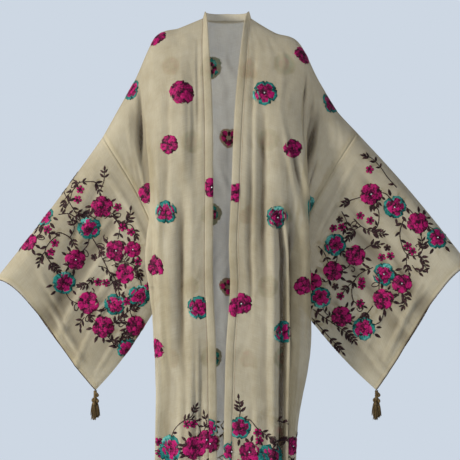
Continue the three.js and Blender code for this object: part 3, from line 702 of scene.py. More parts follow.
def voileMaterial(name, facts):
    material, tree = newMaterial(name)
    uv, coordinates = flatPlace(tree), objectPlace(tree)
    warp = noise(tree, stretched(tree, uv, (1, 0.035, 1)), 900, 2)
    weft = noise(tree, stretched(tree, uv, (0.035, 1, 1)), 800, 2)
    slubs = calc(tree, "MULTIPLY", calc(tree, "ADD", warp, weft), 0.5)
    cloud, wear = noise(tree, coordinates, 5.5, 4), noise(tree, coordinates, 30, 3)
    tone = weighted(tree, (slubs, 0.22), (cloud, 0.56), (wear, 0.22))
    colour = ramp(tree, tone, [(0.36, facts["dark"]), (0.5, facts["middle"]), (0.62, facts["light"])])
    # Painted shade: where the cloth lies below its surroundings, its colour darkens towards the crease shade.
    # The cloth is also covered more there.
    sunk = addNode(tree, "ShaderNodeClamp", {0: attributeOf(tree, "valley")})
    sunk = calc(tree, "MULTIPLY", sunk, facts["troughDepth"])
    shade = (*srgb(*facts["trough"]), 1)
    colour = addNode(tree, "ShaderNodeMix", {0: sunk, 6: colour, 7: shade}, 2, data_type="RGBA")
    woven = [ridges(tree, uv, facts["threadPitch"], axis, Distortion=0.6, Detail=1) for axis in ("X", "Y")]
    weave = calc(tree, "MULTIPLY", *woven)
    crumple = noise(tree, stretched(tree, uv, (1, 0.55, 1)), 60, 3, 0.5)
    down = addNode(tree, "ShaderNodeSeparateXYZ", {"Vector": uv}, "Y")
    away = calc(tree, "ABSOLUTE", calc(tree, "SUBTRACT", down, facts["pressedFold"]), 0.0)
    away = calc(tree, "DIVIDE", away, facts["pressedWidth"])
    pressed = calc(tree, "MAXIMUM", calc(tree, "SUBTRACT", 1.0, away), 0.0)
    height = weighted(tree, (weave, 0.1), (slubs, 0.16), (crumple, facts["crumple"]), (pressed, 0.9))
    bump = bumped(tree, height, 0.4, 0.0012)
    cover = weighted(tree, (slubs, 0.2), (facts["cover"] - 0.1, 1),
                     (attributeOf(tree, "doubled"), facts["doubledCover"]), (sunk, facts["troughCover"]))
    cloth = addNode(tree, "ShaderNodeBsdfPrincipled", {
        "Base Color": colour, "Roughness": facts["roughness"], "Normal": bump,
        "Sheen Weight": 0.2, "Sheen Roughness": 0.5, "Specular IOR Level": 0.2,
    })
    through = addNode(tree, "ShaderNodeBsdfTranslucent", {"Color": colour, "Normal": bump})
    body = addNode(tree, "ShaderNodeMixShader", {0: facts["translucence"], 1: cloth, 2: through})
    clear = addNode(tree, "ShaderNodeBsdfTransparent")
    both = addNode(tree, "ShaderNodeMixShader", {0: cover, 1: clear, 2: body})
    addNode(tree, "ShaderNodeOutputMaterial", {"Surface": both})
    return material


threads = {
    "magenta": {"deep": (26, 0, 18), "middle": (84, 0, 48), "light": (186, 14, 106), "roughness": 0.55},
    "teal": {"deep": (0, 52, 52), "middle": (2, 98, 94), "light": (48, 146, 138), "roughness": 0.55},
    "aqua": {"deep": (24, 98, 94), "middle": (58, 146, 138), "light": (118, 192, 182), "roughness": 0.55},
    "brown": {"deep": (24, 10, 14), "middle": (46, 24, 28), "light": (80, 52, 54), "roughness": 0.6},
    "seamPink": {"deep": (120, 82, 66), "middle": (158, 116, 92), "light": (190, 150, 124), "roughness": 0.6},
    "edging": {"deep": (44, 32, 22), "middle": (78, 60, 40), "light": (112, 90, 62), "roughness": 0.65},
    "olive": {"deep": (44, 32, 16), "middle": (98, 80, 50), "light": (164, 142, 98), "roughness": 0.55},
}
flossPitch = 0.0007


# Flat floss has its own tone and UV map, a line of stitches has neither.
def threadMaterial(name, facts, isFloss):
    material, tree = newMaterial(name)
    coordinates = objectPlace(tree)
    grain = noise(tree, coordinates, 900, 2)
    if isFloss:
        uv = flatPlace(tree)
        streak = noise(tree, stretched(tree, uv, (1, 0.12, 1)), 900, 2, 0.6)
        streaked = calc(tree, "SUBTRACT", streak, 0.5)
        patched = calc(tree, "SUBTRACT", noise(tree, coordinates, 190, 2), 0.54)
        # tone: each lens's own tone with the painted shade of its form
        value = weighted(tree, (attributeOf(tree, "tone"), 1), (streaked, 1.25), (patched, 1.35))
        height = weighted(tree, (ridges(tree, uv, flossPitch, "X", Distortion=1.2), 0.35), (streak, 1))
    else:
        value = weighted(tree, (grain, 0.5), (noise(tree, coordinates, 60, 2), 0.5))
        height = grain
    colour = ramp(tree, value, [(0.12, facts["deep"]), (0.5, facts["middle"]), (0.88, facts["light"])])
    surface = addNode(tree, "ShaderNodeBsdfPrincipled", {
        "Base Color": colour, "Roughness": weighted(tree, (grain, 0.25), (facts["roughness"] - 0.12, 1)),
        "Normal": bumped(tree, height, 0.6, 0.0004), "Specular IOR Level": 0.2,
        "Sheen Weight": 0.04, "Sheen Roughness": 0.4,
    })
    addNode(tree, "ShaderNodeOutputMaterial", {"Surface": surface})
    return material


def beadMaterial():
    material, tree = newMaterial("silverBead")
    tarnish = noise(tree, objectPlace(tree), 500, 2)
    surface = addNode(tree, "ShaderNodeBsdfPrincipled", {
        "Base Color": ramp(tree, tarnish, [(0.3, (216, 216, 222)), (0.6, (246, 247, 250))]),
        "Roughness": weighted(tree, (tarnish, 0.2), (0.12, 1)), "Metallic": 0.3,
    })
    addNode(tree, "ShaderNodeOutputMaterial", {"Surface": surface})
    return material


clothFinish = voileMaterial("sheerVoile", voile)
bandFinish = voileMaterial("foldedVoile", {**voile, "cover": 0.62, "doubledCover": 0.1})
patchFinish = {name: threadMaterial(f"{name}Floss", threads[name], True)
               for name in ("magenta", "teal", "aqua", "brown")}
lineFinish = {name: threadMaterial(f"{name}Thread", threads[name], False)
              for name in ("brown", "seamPink", "edging", "olive")}
silver = beadMaterial()
print("materials made")

shellFacts = {
    "cloth": 0.7, "band": 1.4,  # thickness
    "hemWidth": 10, "seamWidth": 7, "cuffWidth": 6,  # how much of an edge is turned in
    # how deep a crease is where its painted shade is darkest
    "troughs": {"front_right": 7, "sleeve_right": 6.6, "sleeve_left": 6.4}, "otherTroughs": 4.4,
}


# 1 where the cloth is turned in at a seam or a hem, and 0 elsewhere.
def doubledAt(name, cloth):
    u, v = cloth["u"], cloth["v"]
    if name.startswith("band"):
        return np.zeros_like(u)
    doubled = 1 - ease(0, 4, v - shellFacts["seamWidth"])
    if name.startswith("sleeve"):
        return np.maximum(doubled, 1 - ease(0, 3, v[-1:] - v - shellFacts["cuffWidth"]))
    toSeam = u[:, -1:] - u
    if name == "back":
        toSeam = np.minimum(toSeam, u - u[:, :1])
    doubled = np.maximum(doubled, 1 - ease(0, 4, toSeam - shellFacts["seamWidth"]))
    return np.maximum(doubled, 1 - ease(0, 3, v[-1:] - v - shellFacts["hemWidth"]))


pieces = {}
for name, cloth in cloths.items():
    isBand = name.startswith("band")
    thickness = shellFacts["band" if isBand else "cloth"]
    finish = bandFinish if isBand else clothFinish
    fullDepth = shellFacts["troughs"].get(name, shellFacts["otherTroughs"])
    pieces[name] = shell(f"{name}_cloth", cloth, thickness, finish, doubledAt(name, cloth), fullDepth)
    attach(pieces[name], "root")
    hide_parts(name)
print("cloth shells made")

stage = {
    "lens": 96.3, "sensor": 36, "eye": (0.0078, -3.2, -0.546), "aim": (0, 0, -0.62),
    "background": (205, 215, 227), "skyLight": (238, 240, 246), "skyStrength": 0.3,
    "floor": -1.56, "floorRadius": 1.9, "floorSides": 96, "floorTones": ((203, 212, 222), (212, 220, 229)),
    "key": {"at": (-3.2, -2.1, 0.35), "size": 0.9, "power": 136, "colour": (255, 250, 242)},
    "fill": {"at": (-0.2, -3.6, 1.2), "size": 1.4, "power": 12, "colour": (250, 250, 255)},
    "back": {"at": (-1.2, 2.8, 1.2), "size": 2.0, "power": 5, "colour": (255, 252, 246)},
}

flowers = {
    "roseScale": 1.04, "petalTurn": 1.2566, "gapTurn": 0.63, "innerTurn": 0.62, "curlTurn": 2.1,
    "small": 10.5, "leaf": (17.5, 3.7), "leafPair": 0.28, "leavesFrom": {"teal": 1.16, "rose": 0.9},
    "petalLift": 0.9, "rim": 0.33, "wrongSide": 1.2,  # how far floss lies over the cloth and comes through
    "beadShare": 0.35, "beadRadius": 1.9, "beadLift": 3.0,
}
# A rose's layers from below: length and half width of a petal for a rose of radius 1, its lift in mm and its
# tone. Two values are the ends of a range.
roseLayers = {
    "rim": (1.17, 0.76, 0.2, (0.35, 0.6)), "rimOver": (1.09, 0.62, 0.3, 0.5), "gap": (0.86, 0.4, 0.3, 0.06),
    "outer": ((0.94, 1.02), 0.62, 0.55, (0.42, 0.74)), "inner": ((0.56, 0.66), 0.36, 0.9, (0.3, 0.95)),
    "curl": (0.4, 0.36, 1.3, (0.7, 0.25, 0.5)), "heart": (0.3, 0.16, 1.6, 0.1),
}
# mm; a frond is the close row of small leaves at a vine's end
vineFacts = {
    "stitch": (4.4, 3.4, 1.5), "pitch": 3.1, "lift": 0.25, "pointEvery": 2.2, "firstLeaf": 7, "bareEnd": 3,
    "leafEvery": 19, "leafGap": (0.7, 1.3), "leafSize": (0.7, 1.05), "leafTurn": (0.6, 0.95),
    "frond": 32, "frondEvery": 9, "frondSize": (0.62, 0.014), "tipSize": 0.8,
    "outlineShare": 0.14, "outline": (20, 5.5), "outlineTurn": (0.9, 1.4),
}

# Each body of floss is one small closed lens: x across (-1..1), y along (0..1), how far it swells, its
# painted shade.
lensRows, lensColumns = 5, 6


def lensForm(kind):
    s = np.linspace(0, 1, lensRows)[:, None] * np.ones(lensColumns)
    t = np.ones((lensRows, 1)) * np.linspace(-1, 1, lensColumns)
    if kind == "petal":
        s = (1 - np.cos(np.pi * s)) / 2
        wide = np.sqrt(np.maximum(0.05, 1 - (2 * s - 1) ** 2)) * (0.5 + 0.62 * s)
        x = t * wide
        y = s - 0.1 * (s > 0.9) * t**2 * s
    elif kind == "leaf":
        x = t * (0.05 + np.sin(np.pi * np.clip(s, 0.02, 0.98) ** 0.8) ** 0.8)
        y = s
    else:  # crescent
        reach = 1.25 * t
        x = np.sin(reach) * (0.72 + 0.28 * s)
        y = np.cos(reach) * (0.72 + 0.28 * s * np.cos(1.2 * t))
    swell = np.sqrt(np.clip(1 - t**2, 0, 1)) * np.sqrt(np.clip(np.sin(np.pi * s), 0, 1))
    if kind == "leaf":  # hollow along its middle
        swell = swell * (0.55 + 0.45 * np.minimum(1, np.abs(t) * 2.5))
    swell[0], swell[-1], swell[:, 0], swell[:, -1] = 0, 0, 0, 0
    # painted shade of the swelling floss: lighter towards the tip, darker at its sides and at its foot, where
    # it tucks under the floss above
    shade = 0.12 + 0.2 * s - 0.34 * np.abs(t) ** 3 - 0.3 * (1 - s) ** 2
    form = np.stack([x, y, swell, shade], 2).reshape(-1, 4)
    # the middle behind is painted lighter, standing in for light on the wrong side
    under = [form[:, 0].mean(), form[:, 1].mean(), -1, 0.4]  # one point behind closes it
    return np.vstack([form, under])


def lensFaces():
    at = np.arange(lensRows * lensColumns).reshape(lensRows, lensColumns)
    top = [[at[r, c], at[r, c + 1], at[r + 1, c + 1], at[r + 1, c]]
           for r in range(lensRows - 1) for c in range(lensColumns - 1)]
    rim = [*at[0], *at[1:, -1], *at[-1, -2::-1], *at[-2:0:-1, 0]]
    under = [[rim[(k + 1) % len(rim)], rim[k], lensRows * lensColumns] for k in range(len(rim))]
    return np.array(top), np.array(under)


lensForms = {kind: lensForm(kind) for kind in ("petal", "leaf", "crescent")}
lensTop, lensUnder = lensFaces()


def bilinear(field, i, j):
    i0 = np.clip(np.floor(i).astype(int), 0, field.shape[0] - 2)
    j0 = np.clip(np.floor(j).astype(int), 0, field.shape[1] - 2)
    fi, fj = i - i0, j - j0
    if field.ndim == 3:
        fi, fj = fi[:, None], fj[:, None]
    low = field[i0, j0] * (1 - fj) + field[i0, j0 + 1] * fj
    high = field[i0 + 1, j0] * (1 - fj) + field[i0 + 1, j0 + 1] * fj
    return low * (1 - fi) + high * fi


def notZero(values):
    return np.where(np.abs(values) < 1e-6, 1e-6, values)


# Where flat places u, v lie in the grid, found from a near start. Past an edge they stay on it, level with
# where they would lie.
def locate(cloth, u, v, i, j, rounds=8, longest=6):
    rows, columns = cloth["u"].shape
    for _ in range(rounds):
        i0 = np.clip(np.floor(i).astype(int), 0, rows - 2)
        j0 = np.clip(np.floor(j).astype(int), 0, columns - 2)
        missU, missV = u - bilinear(cloth["u"], i, j), v - bilinear(cloth["v"], i, j)
        ui, vi = (cloth[k][i0 + 1, j0] - cloth[k][i0, j0] for k in "uv")
        uj, vj = (cloth[k][i0, j0 + 1] - cloth[k][i0, j0] for k in "uv")
        turn = notZero(uj * vi - ui * vj)
        stepJ = np.clip((missU * vi - missV * ui) / turn, -longest, longest)
        past = (j + stepJ < 0) | (j + stepJ > columns - 1)
        stepI = np.where(past, missV / notZero(vi), (missV * uj - missU * vj) / turn)
        i = np.clip(i + np.clip(stepI, -longest, longest), 0, rows - 1)
        j = np.clip(j + stepJ, 0, columns - 1)
    return i, j


# The place on the cloth that is seen at x, z from in front (toward -1) or from behind (toward 1).
def seenAt(cloth, x, z, toward=-1):
    pad, columns = cloth["pad"], cloth["columns"]
    points = cloth["points"][:, pad:pad + columns]
    facing = cloth["normals"][:, pad:pad + columns, 1] * toward > 0
    eye = np.array(stage["eye"]) * 1000
    near = -eye[1] / (points[:, :, 1] - eye[1]) if toward < 0 else 1
    missX, missZ = (eye[k] + (points[:, :, k] - eye[k]) * near - want for k, want in ((0, x), (2, z)))
    away = np.where(facing, missX**2 + missZ**2, np.inf)
    i, j = np.unravel_index(np.argmin(away), away.shape)
    j += pad
    return placeAt(cloth, cloth["u"][i, j], cloth["v"][i, j], float(i), float(j))


leastShear = 0.55  # 1 where the flat directions are at right angles, 0 where they run together


# A place on the cloth. Where the flat directions run almost together, the plane that touches it stands in.
def placeAt(cloth, u, v, i, j):
    shear, first, second = shearAt(cloth, i, j)
    place = {"u": u, "v": v, "i": i, "j": j, "shear": shear}
    if np.linalg.svd(shear)[1][1] < leastShear:
        away = cloth["points"] - cloth["points"][int(i), int(j)]
        place["plane"] = {"u": away @ first, "v": away @ second}
    return place


# How the flat directions u and v lie in the cloth at a place, on two directions at right angles in it.
def shearAt(cloth, i, j, reach=4):
    i, j = int(i), int(j)
    rows, columns = cloth["u"].shape
    i0, i1 = max(0, i - reach), min(rows - 1, i + reach)
    j0, j1 = max(0, j - reach), min(columns - 1, j + reach)
    points = cloth["points"]
    step = np.column_stack([points[i1, j] - points[i0, j], points[i, j1] - points[i, j0]])
    flat = np.array([[cloth[k][i1, j] - cloth[k][i0, j], cloth[k][i, j1] - cloth[k][i, j0]] for k in "uv"])
    alongU, alongV = (step @ np.linalg.inv(flat)).T
    first = alongU / np.linalg.norm(alongU)
    second = alongV - first * (alongV @ first)
    second /= np.linalg.norm(second)
    shear = np.array([[alongU @ first, alongV @ first], [alongU @ second, alongV @ second]])
    return shear, first, second


def addLens(work, at, kind, angle, length, half, lift, thread, tone, start=0, bend=0):
    work["lenses"].append({
        "at": at, "kind": kind, "angle": angle, "length": length, "half": half, "lift": lift,
        "thread": thread, "tone": tone, "start": start, "bend": bend,
    })


def drawn(generator, value):
    return generator.uniform(*value) if isinstance(value, tuple) else value


def addRose(work, at, kind, size, generator, leafy=False):
    turn = generator.uniform(0, fullTurn)
    radius = size * flowers["roseScale"]

    def petal(layer, angle, thread="magenta", form="petal", start=0, shade=None):
        length, half, lift, tone = roseLayers[layer]
        length = radius * drawn(generator, length)
        tone = drawn(generator, tone) if shade is None else tone[shade]
        addLens(work, at, form, angle, length, radius * half, lift, thread, tone, radius * start)

    for _ in range(generator.integers(1, 4) if leafy else 0):
        angle = generator.uniform(0, fullTurn)
        for side in (-flowers["leafPair"], flowers["leafPair"]):
            addLeaf(work, at, angle + side, generator.uniform(0.8, 1.1), generator,
                    radius * flowers["leavesFrom"][kind])
    steps = [flowers["petalTurn"] * k for k in range(5)]
    lobes = [turn + step + generator.uniform(-0.1, 0.1) for step in steps]
    for k, angle in enumerate(lobes):
        if kind == "teal":
            petal("rim", angle, "aqua" if k == 1 else "teal")
            if k == 1:
                petal("rimOver", angle + 0.1, "teal")
        petal("gap", angle + flowers["gapTurn"])
        petal("outer", angle)
    for step in steps:
        petal("inner", turn + flowers["innerTurn"] + step + generator.uniform(-0.15, 0.15))
    for k in range(3):
        petal("curl", turn + flowers["curlTurn"] * k, form="crescent", start=-0.05, shade=k)
    petal("heart", turn, start=-0.15)
    if generator.uniform() < flowers["beadShare"]:
        work["beads"].append(at)


def addSmallFlower(work, at, size, thread, generator):
    turn = generator.uniform(0, fullTurn)
    for k in range(5):
        tone = generator.uniform(0.5, 0.75)
        angle = turn + flowers["petalTurn"] * k
        addLens(work, at, "petal", angle, size, size * 0.48, 0.35, thread, tone, start=1)
    addLens(work, at, "petal", turn, size * 0.36, size * 0.2, 0.9, thread, 0.15, start=-size * 0.18)


def addLeaf(work, at, angle, size, generator, start=1.5):
    length, half = (measure * size for measure in flowers["leaf"])
    tone = generator.uniform(0.3, 0.62)
    addLens(work, at, "leaf", angle, length, half, 0.3, "brown", tone, start, generator.uniform(-2, 2))


# A vine runs through the places on a soft curve. It carries leaves, some sewn as outlines, and a frond of
# small ones at the end of a sprig.
def addVine(work, cloth, places, generator, sprig=True, leafy=0.6):
    control = np.array([[p["u"], p["v"]] for p in places])
    grid = np.array([[p["i"], p["j"]] for p in places])
    count = max(6, int(np.linalg.norm(np.diff(control, axis=0), axis=1).sum() / vineFacts["pointEvery"]))
    weights = weightsAt(np.arange(len(places)), np.linspace(0, len(places) - 1, count))
    line, start = weights @ control, weights @ grid
    work["lines"].append((line, start))
    tangent = np.gradient(line, axis=0)
    lengths = np.insert(np.cumsum(np.linalg.norm(np.diff(line, axis=0), axis=1)), 0, 0)

    def placeAndHeading(k):
        here = placeAt(cloth, *line[k], *start[k])
        along = here["shear"] @ tangent[k]
        return here, math.atan2(along[1], along[0]) - math.pi / 2

    place = vineFacts["firstLeaf"]
    while place < lengths[-1] - vineFacts["bareEnd"]:
        here, heading = placeAndHeading(min(int(np.searchsorted(lengths, place)), len(line) - 1))
        toEnd = lengths[-1] - place
        frond = sprig and toEnd < vineFacts["frond"]
        least, more = vineFacts["frondSize"]
        size = least + more * toEnd if frond else generator.uniform(*vineFacts["leafSize"])
        for side in (-1, 1):
            if frond or generator.uniform() < leafy:
                turn = side * generator.uniform(*vineFacts["leafTurn"])
                addLeaf(work, here, heading + turn, size, generator)
        if not frond and generator.uniform() < vineFacts["outlineShare"]:
            turn = generator.choice([-1, 1]) * generator.uniform(*vineFacts["outlineTurn"])
            addOutline(work, here, heading + turn, *vineFacts["outline"])
        if frond:
            place += vineFacts["frondEvery"]
        else:
            place += vineFacts["leafEvery"] * generator.uniform(*vineFacts["leafGap"])
    if sprig:
        here, heading = placeAndHeading(len(line) - 1)
        addLeaf(work, here, heading, vineFacts["tipSize"], generator)


def addLine(work, at, x, y):
    offset = np.linalg.inv(at["shear"]) @ np.array([x, y])
    line = np.column_stack([at["u"] + offset[0], at["v"] + offset[1]])
    work["lines"].append((line, np.tile([at["i"], at["j"]], (len(line), 1))))


# A leaf sewn as a bare outline.
def addOutline(work, at, angle, length, half):
    around = np.linspace(0, 2 * np.pi, 26)
    x, y = half * np.sin(around), length * (1 - np.cos(around)) / 2
    addLine(work, at, x * math.cos(angle) - y * math.sin(angle), x * math.sin(angle) + y * math.cos(angle))


def addCurl(work, at, heading, size, way):
    around = np.linspace(0, 4.6, 26)
    radius = size * (1 - around / 5.4)
    x = size * math.cos(heading) - radius * np.cos(around * way + heading)
    y = size * math.sin(heading) - radius * np.sin(around * way + heading)
    addLine(work, at, x, y)


# Whether u, v and the normal of a cloth are left-handed.
def isLeftHanded(cloth):
    points = cloth["points"]
    i, j = points.shape[0] // 2, points.shape[1] // 2
    across, down = points[i, j + 1] - points[i, j], points[i + 1, j] - points[i, j]
    return np.dot(np.cross(across, down), cloth["normals"][i, j]) < 0


# All the floss of one cloth in one mesh. Only the lowest layers come through to the wrong side.
def flossMesh(name, cloth, work):
    names = [n for n in patchFinish if any(lens["thread"] == n for lens in work["lenses"])]
    count = lensRows * lensColumns + 1
    flat, start, height, tone, uv, inPlane = [], [], [], [], [], []
    for lens in work["lenses"]:
        form, at = lensForms[lens["kind"]], lens["at"]
        x = form[:, 0] * lens["half"] + lens["bend"] * form[:, 1] ** 2
        y = form[:, 1] * lens["length"] + lens["start"]
        cos, sin = math.cos(lens["angle"]), math.sin(lens["angle"])
        turned = np.array([x * cos - y * sin, x * sin + y * cos])
        offset = np.linalg.inv(at["shear"]) @ turned
        if "plane" in at:
            offset[:] = 0
            inPlane.append((len(flat), at, turned))
        flat.append(np.column_stack([at["u"] + offset[0], at["v"] + offset[1]]))
        start.append(np.tile([at["i"], at["j"]], (count, 1)))
        swell = form[:, 2]
        below = flowers["wrongSide"] * (1 + 0.3 * lens["lift"]) if lens["lift"] < 0.6 else 0.05
        above = flowers["rim"] + swell * (flowers["petalLift"] + lens["lift"])
        height.append(np.where(swell < 0, swell * below, above))
        tone.append(lens["tone"] + form[:, 3])
        uv.append(np.column_stack([x, y]) / 1000)
    i, j = locate(cloth, *np.concatenate(flat).T, *np.concatenate(start).T)
    for number, at, (x, y) in inPlane:
        span = slice(number * count, (number + 1) * count)
        i[span], j[span] = locate(at["plane"], x, y, np.full(count, at["i"]), np.full(count, at["j"]))
    points = bilinear(cloth["points"], i, j)
    points += bilinear(cloth["normals"], i, j) * np.concatenate(height)[:, None]
    a, b, d = (lensForms["petal"][k, :2] for k in (lensColumns + 1, lensColumns + 2, 2 * lensColumns + 1))
    turnsOver = np.cross(b - a, d - a) < 0
    way = -1 if isLeftHanded(cloth) != turnsOver else 1
    top, under = lensTop[:, ::way], lensUnder[:, ::way]
    faces, slots = [], []
    for n, lens in enumerate(work["lenses"]):
        faces += (top + n * count).tolist() + (under + n * count).tolist()
        slots += [names.index(lens["thread"])] * (len(top) + len(under))
    obj = newMesh(name, points / 1000, faces, [patchFinish[n] for n in names])
    obj.data.polygons.foreach_set("material_index", slots)
    smooth = np.tile([True] * len(top) + [False] * len(under), len(work["lenses"]))
    obj.data.polygons.foreach_set("use_smooth", smooth)
    loops = np.zeros(len(obj.data.loops), np.int32)
    obj.data.loops.foreach_get("vertex_index", loops)
    setUv(obj.data, np.concatenate(uv)[loops])
    setNumber(obj.data, "tone", np.concatenate(tone))
    return obj


def newTree(name, **sockets):
    tree = bpy.data.node_groups.new(name, "GeometryNodeTree")
    for socketName, kind in {"Geometry": "Geometry", **sockets}.items():
        tree.interface.new_socket(socketName, in_out="INPUT", socket_type=f"NodeSocket{kind}")
    tree.interface.new_socket("Geometry", in_out="OUTPUT", socket_type="NodeSocketGeometry")
    return tree, tree.nodes.new("NodeGroupInput").outputs


def endTree(tree, geometry, finish):
    smooth = addNode(tree, "GeometryNodeSetShadeSmooth", {0: geometry})
    real = addNode(tree, "GeometryNodeRealizeInstances", {0: smooth})
    finished = addNode(tree, "GeometryNodeSetMaterial", {"Geometry": real, "Material": finish})
    addNode(tree, "NodeGroupOutput", {0: finished})
    return tree


def randomVector(tree, least, most, seed):
    return addNode(tree, "FunctionNodeRandomValue", {"Min": least, "Max": most, "Seed": seed},
                   data_type="FLOAT_VECTOR")


# Stitches laid end to end along every line of the given mesh.
def stitchTree():
    tree, take = newTree("stitchRun", pitch="Float", length="Float", width="Float", height="Float",
                         turn="Float", thread="Material")
    curve = addNode(tree, "GeometryNodeMeshToCurve", {"Mesh": take["Geometry"]})
    run = addNode(tree, "GeometryNodeResampleCurve", {"Curve": curve, "Length": take["pitch"]}, mode="LENGTH")
    tangent = addNode(tree, "GeometryNodeInputTangent")
    facing = addNode(tree, "GeometryNodeInputNamedAttribute", {"Name": "facing"}, data_type="FLOAT_VECTOR")
    lie = addNode(tree, "FunctionNodeAlignRotationToVector", {"Vector": tangent}, axis="X")
    stand = addNode(tree, "FunctionNodeAlignRotationToVector", {"Rotation": lie, "Vector": facing},
                    axis="Z", pivot_axis="X")
    turn = addNode(tree, "FunctionNodeAxisAngleToRotation", {"Angle": take["turn"], "Axis": (0, 0, 1)})
    turned = addNode(tree, "FunctionNodeRotateRotation", {"Rotation": stand, "Rotate By": turn},
                     rotation_space="LOCAL")
    ball = addNode(tree, "GeometryNodeMeshUVSphere", {"Segments": 6, "Rings": 4, "Radius": 0.5})
    size = addNode(tree, "ShaderNodeCombineXYZ",
                   {"X": take["length"], "Y": take["width"], "Z": take["height"]})
    uneven = randomVector(tree, (0.85, 0.8, 0.85), (1.1, 1.2, 1.15), 4)
    scale = addNode(tree, "ShaderNodeVectorMath", {0: size, 1: uneven}, operation="MULTIPLY")
    laid = addNode(tree, "GeometryNodeInstanceOnPoints",
                   {"Points": run, "Instance": ball, "Rotation": turned, "Scale": scale})
    return endTree(tree, laid, take["thread"])


# Small round beads on the given points.
def beadTree():
    tree, take = newTree("beadScatter", radius="Float", finish="Material")
    spots = addNode(tree, "GeometryNodeMeshToPoints", {"Mesh": take["Geometry"]})
    ball = addNode(tree, "GeometryNodeMeshUVSphere", {"Segments": 8, "Rings": 6, "Radius": take["radius"]})
    laid = addNode(tree, "GeometryNodeInstanceOnPoints", {"Points": spots, "Instance": ball})
    return endTree(tree, laid, take["finish"])


# A bunch of fine threads that hang from one point and spread towards their feet.
def tuftTree():
    tree, take = newTree("threadTuft", count="Int", length="Float", flare="Float", radius="Float", seed="Int",
                         thread="Material")
    middle = addNode(tree, "ShaderNodeCombineXYZ", {
        "X": calc(tree, "MULTIPLY", take["flare"], 0.85), "Z": calc(tree, "MULTIPLY", take["length"], -0.3),
    })
    foot = addNode(tree, "ShaderNodeCombineXYZ", {
        "X": take["flare"], "Z": calc(tree, "MULTIPLY", take["length"], -1.0),
    })
    strand = addNode(tree, "GeometryNodeCurveQuadraticBezier",
                     {"Resolution": 6, "Start": (0, 0, 0), "Middle": middle, "End": foot})
    spots = addNode(tree, "GeometryNodePoints", {"Count": take["count"]})
    spin = randomVector(tree, (-0.04, -0.04, 0), (0.04, 0.04, 6.283), take["seed"])
    size = randomVector(tree, (0.15, 1, 0.88), (1, 1, 1), calc(tree, "ADD", take["seed"], 7.0))
    laid = addNode(tree, "GeometryNodeInstanceOnPoints",
                   {"Points": spots, "Instance": strand, "Rotation": spin, "Scale": size})
    lines = addNode(tree, "GeometryNodeRealizeInstances", {0: laid})
    ring = addNode(tree, "GeometryNodeCurvePrimitiveCircle", {"Resolution": 4, "Radius": take["radius"]})
    tubes = addNode(tree, "GeometryNodeCurveToMesh",
                    {"Curve": lines, "Profile Curve": ring, "Fill Caps": True})
    return endTree(tree, tubes, take["thread"])


trees = {"stitch": stitchTree(), "bead": beadTree(), "tuft": tuftTree()}


# Runs a tree on a mesh and keeps the outcome as a plain mesh.
def grown(name, tree, vertices, edges, values, facing=None):
    mesh = bpy.data.meshes.new(f"{name}_lines")
    mesh.from_pydata((np.asarray(vertices) / 1000).tolist(), edges, [])
    if facing is not None:
        attribute = mesh.attributes.new("facing", "FLOAT_VECTOR", "POINT")
        attribute.data.foreach_set("vector", np.asarray(facing, np.float32).ravel())
    source = placed(f"{name}_lines", mesh)
    modifier = source.modifiers.new("grow", "NODES")
    modifier.node_group = tree
    for item in tree.interface.items_tree:
        if item.in_out == "INPUT" and item.name in values:
            modifier[item.identifier] = values[item.name]
    bpy.context.view_layer.update()
    finished = bpy.data.meshes.new_from_object(source.evaluated_get(bpy.context.evaluated_depsgraph_get()))
    finished.name = name
    bpy.data.objects.remove(source)
    return placed(name, finished)


# Stitches on lines over the cloth. facts: pitch, length, width and height in mm, and turn.
def stitched(name, lines, normals, facts, thread):
    vertices, edges = [], []
    for line in lines:
        first = len(vertices)
        vertices += list(line)
        edges += [(first + k, first + k + 1) for k in range(len(line) - 1)]
    sizes = dict(zip(("pitch", "length", "width", "height"), (fact / 1000 for fact in facts)))
    values = {**sizes, "turn": float(facts[4]), "thread": lineFinish[thread]}
    return grown(name, trees["stitch"], vertices, edges, values, np.concatenate(normals))


def vineMesh(name, cloth, work):
    lines, normals = [], []
    for flat, start in work["lines"]:
        i, j = locate(cloth, *flat.T, *start.T)
        normals.append(bilinear(cloth["normals"], i, j))
        lines.append(bilinear(cloth["points"], i, j) + normals[-1] * vineFacts["lift"])
    return stitched(name, lines, normals, (vineFacts["pitch"], *vineFacts["stitch"], 0), "brown")


# Where the motifs stand, in mm as seen from in front: x, z, kind, size.
scattered = {
    "front_right": [
        (-117, -185, "rose", 33), (-205, -450, "rose", 27), (-160, -500, "teal", 25),
        (-187, -637, "rose", 26),
        (-75, -746, "teal", 25), (-185, -858, "rose", 26), (-182, -47, "rose", 26),
        (-247, -182, "teal", 24), (-150, -318, "rose", 25),
    ],
    "front_left": [
        (99, -190, "teal", 27), (169, -333, "rose", 26), (130, -515, "teal", 25), (205, -478, "teal", 24),
        (38, -741, "rose", 27), (146, -806, "teal", 24), (198, -91, "rose", 26), (268, -216, "teal", 24),
        (196, -690, "rose", 24),
    ],
}
sleeveRoses = {
    "right": [
        (-328, -486, "rose", 29), (-359, -543, "teal", 26), (-395, -619, "rose", 28),
        (-426, -679, "teal", 26), (-289, -601, "rose", 29), (-359, -738, "rose", 30),
        (-294, -738, "teal", 24), (-322, -798, "rose", 29), (-262, -660, "rose", 26),
        (-243, -594, "rose", 22), (-226, -718, "teal", 25), (-239, -793, "rose", 27),
        (-260, -856, "teal", 22), (-518, -578, "rose", 26), (-470, -512, "teal", 22),
    ],
    "left": [
        (377, -450, "rose", 29), (437, -484, "teal", 25), (499, -528, "rose", 28),
        (549, -567, "teal", 24), (281, -582, "teal", 25), (335, -611, "rose", 28),
        (276, -650, "rose", 27), (411, -658, "teal", 25), (455, -686, "rose", 26),
        (403, -725, "rose", 28), (296, -772, "rose", 28), (354, -803, "teal", 26),
        (242, -723, "teal", 24), (224, -680, "rose", 24),
    ],
}
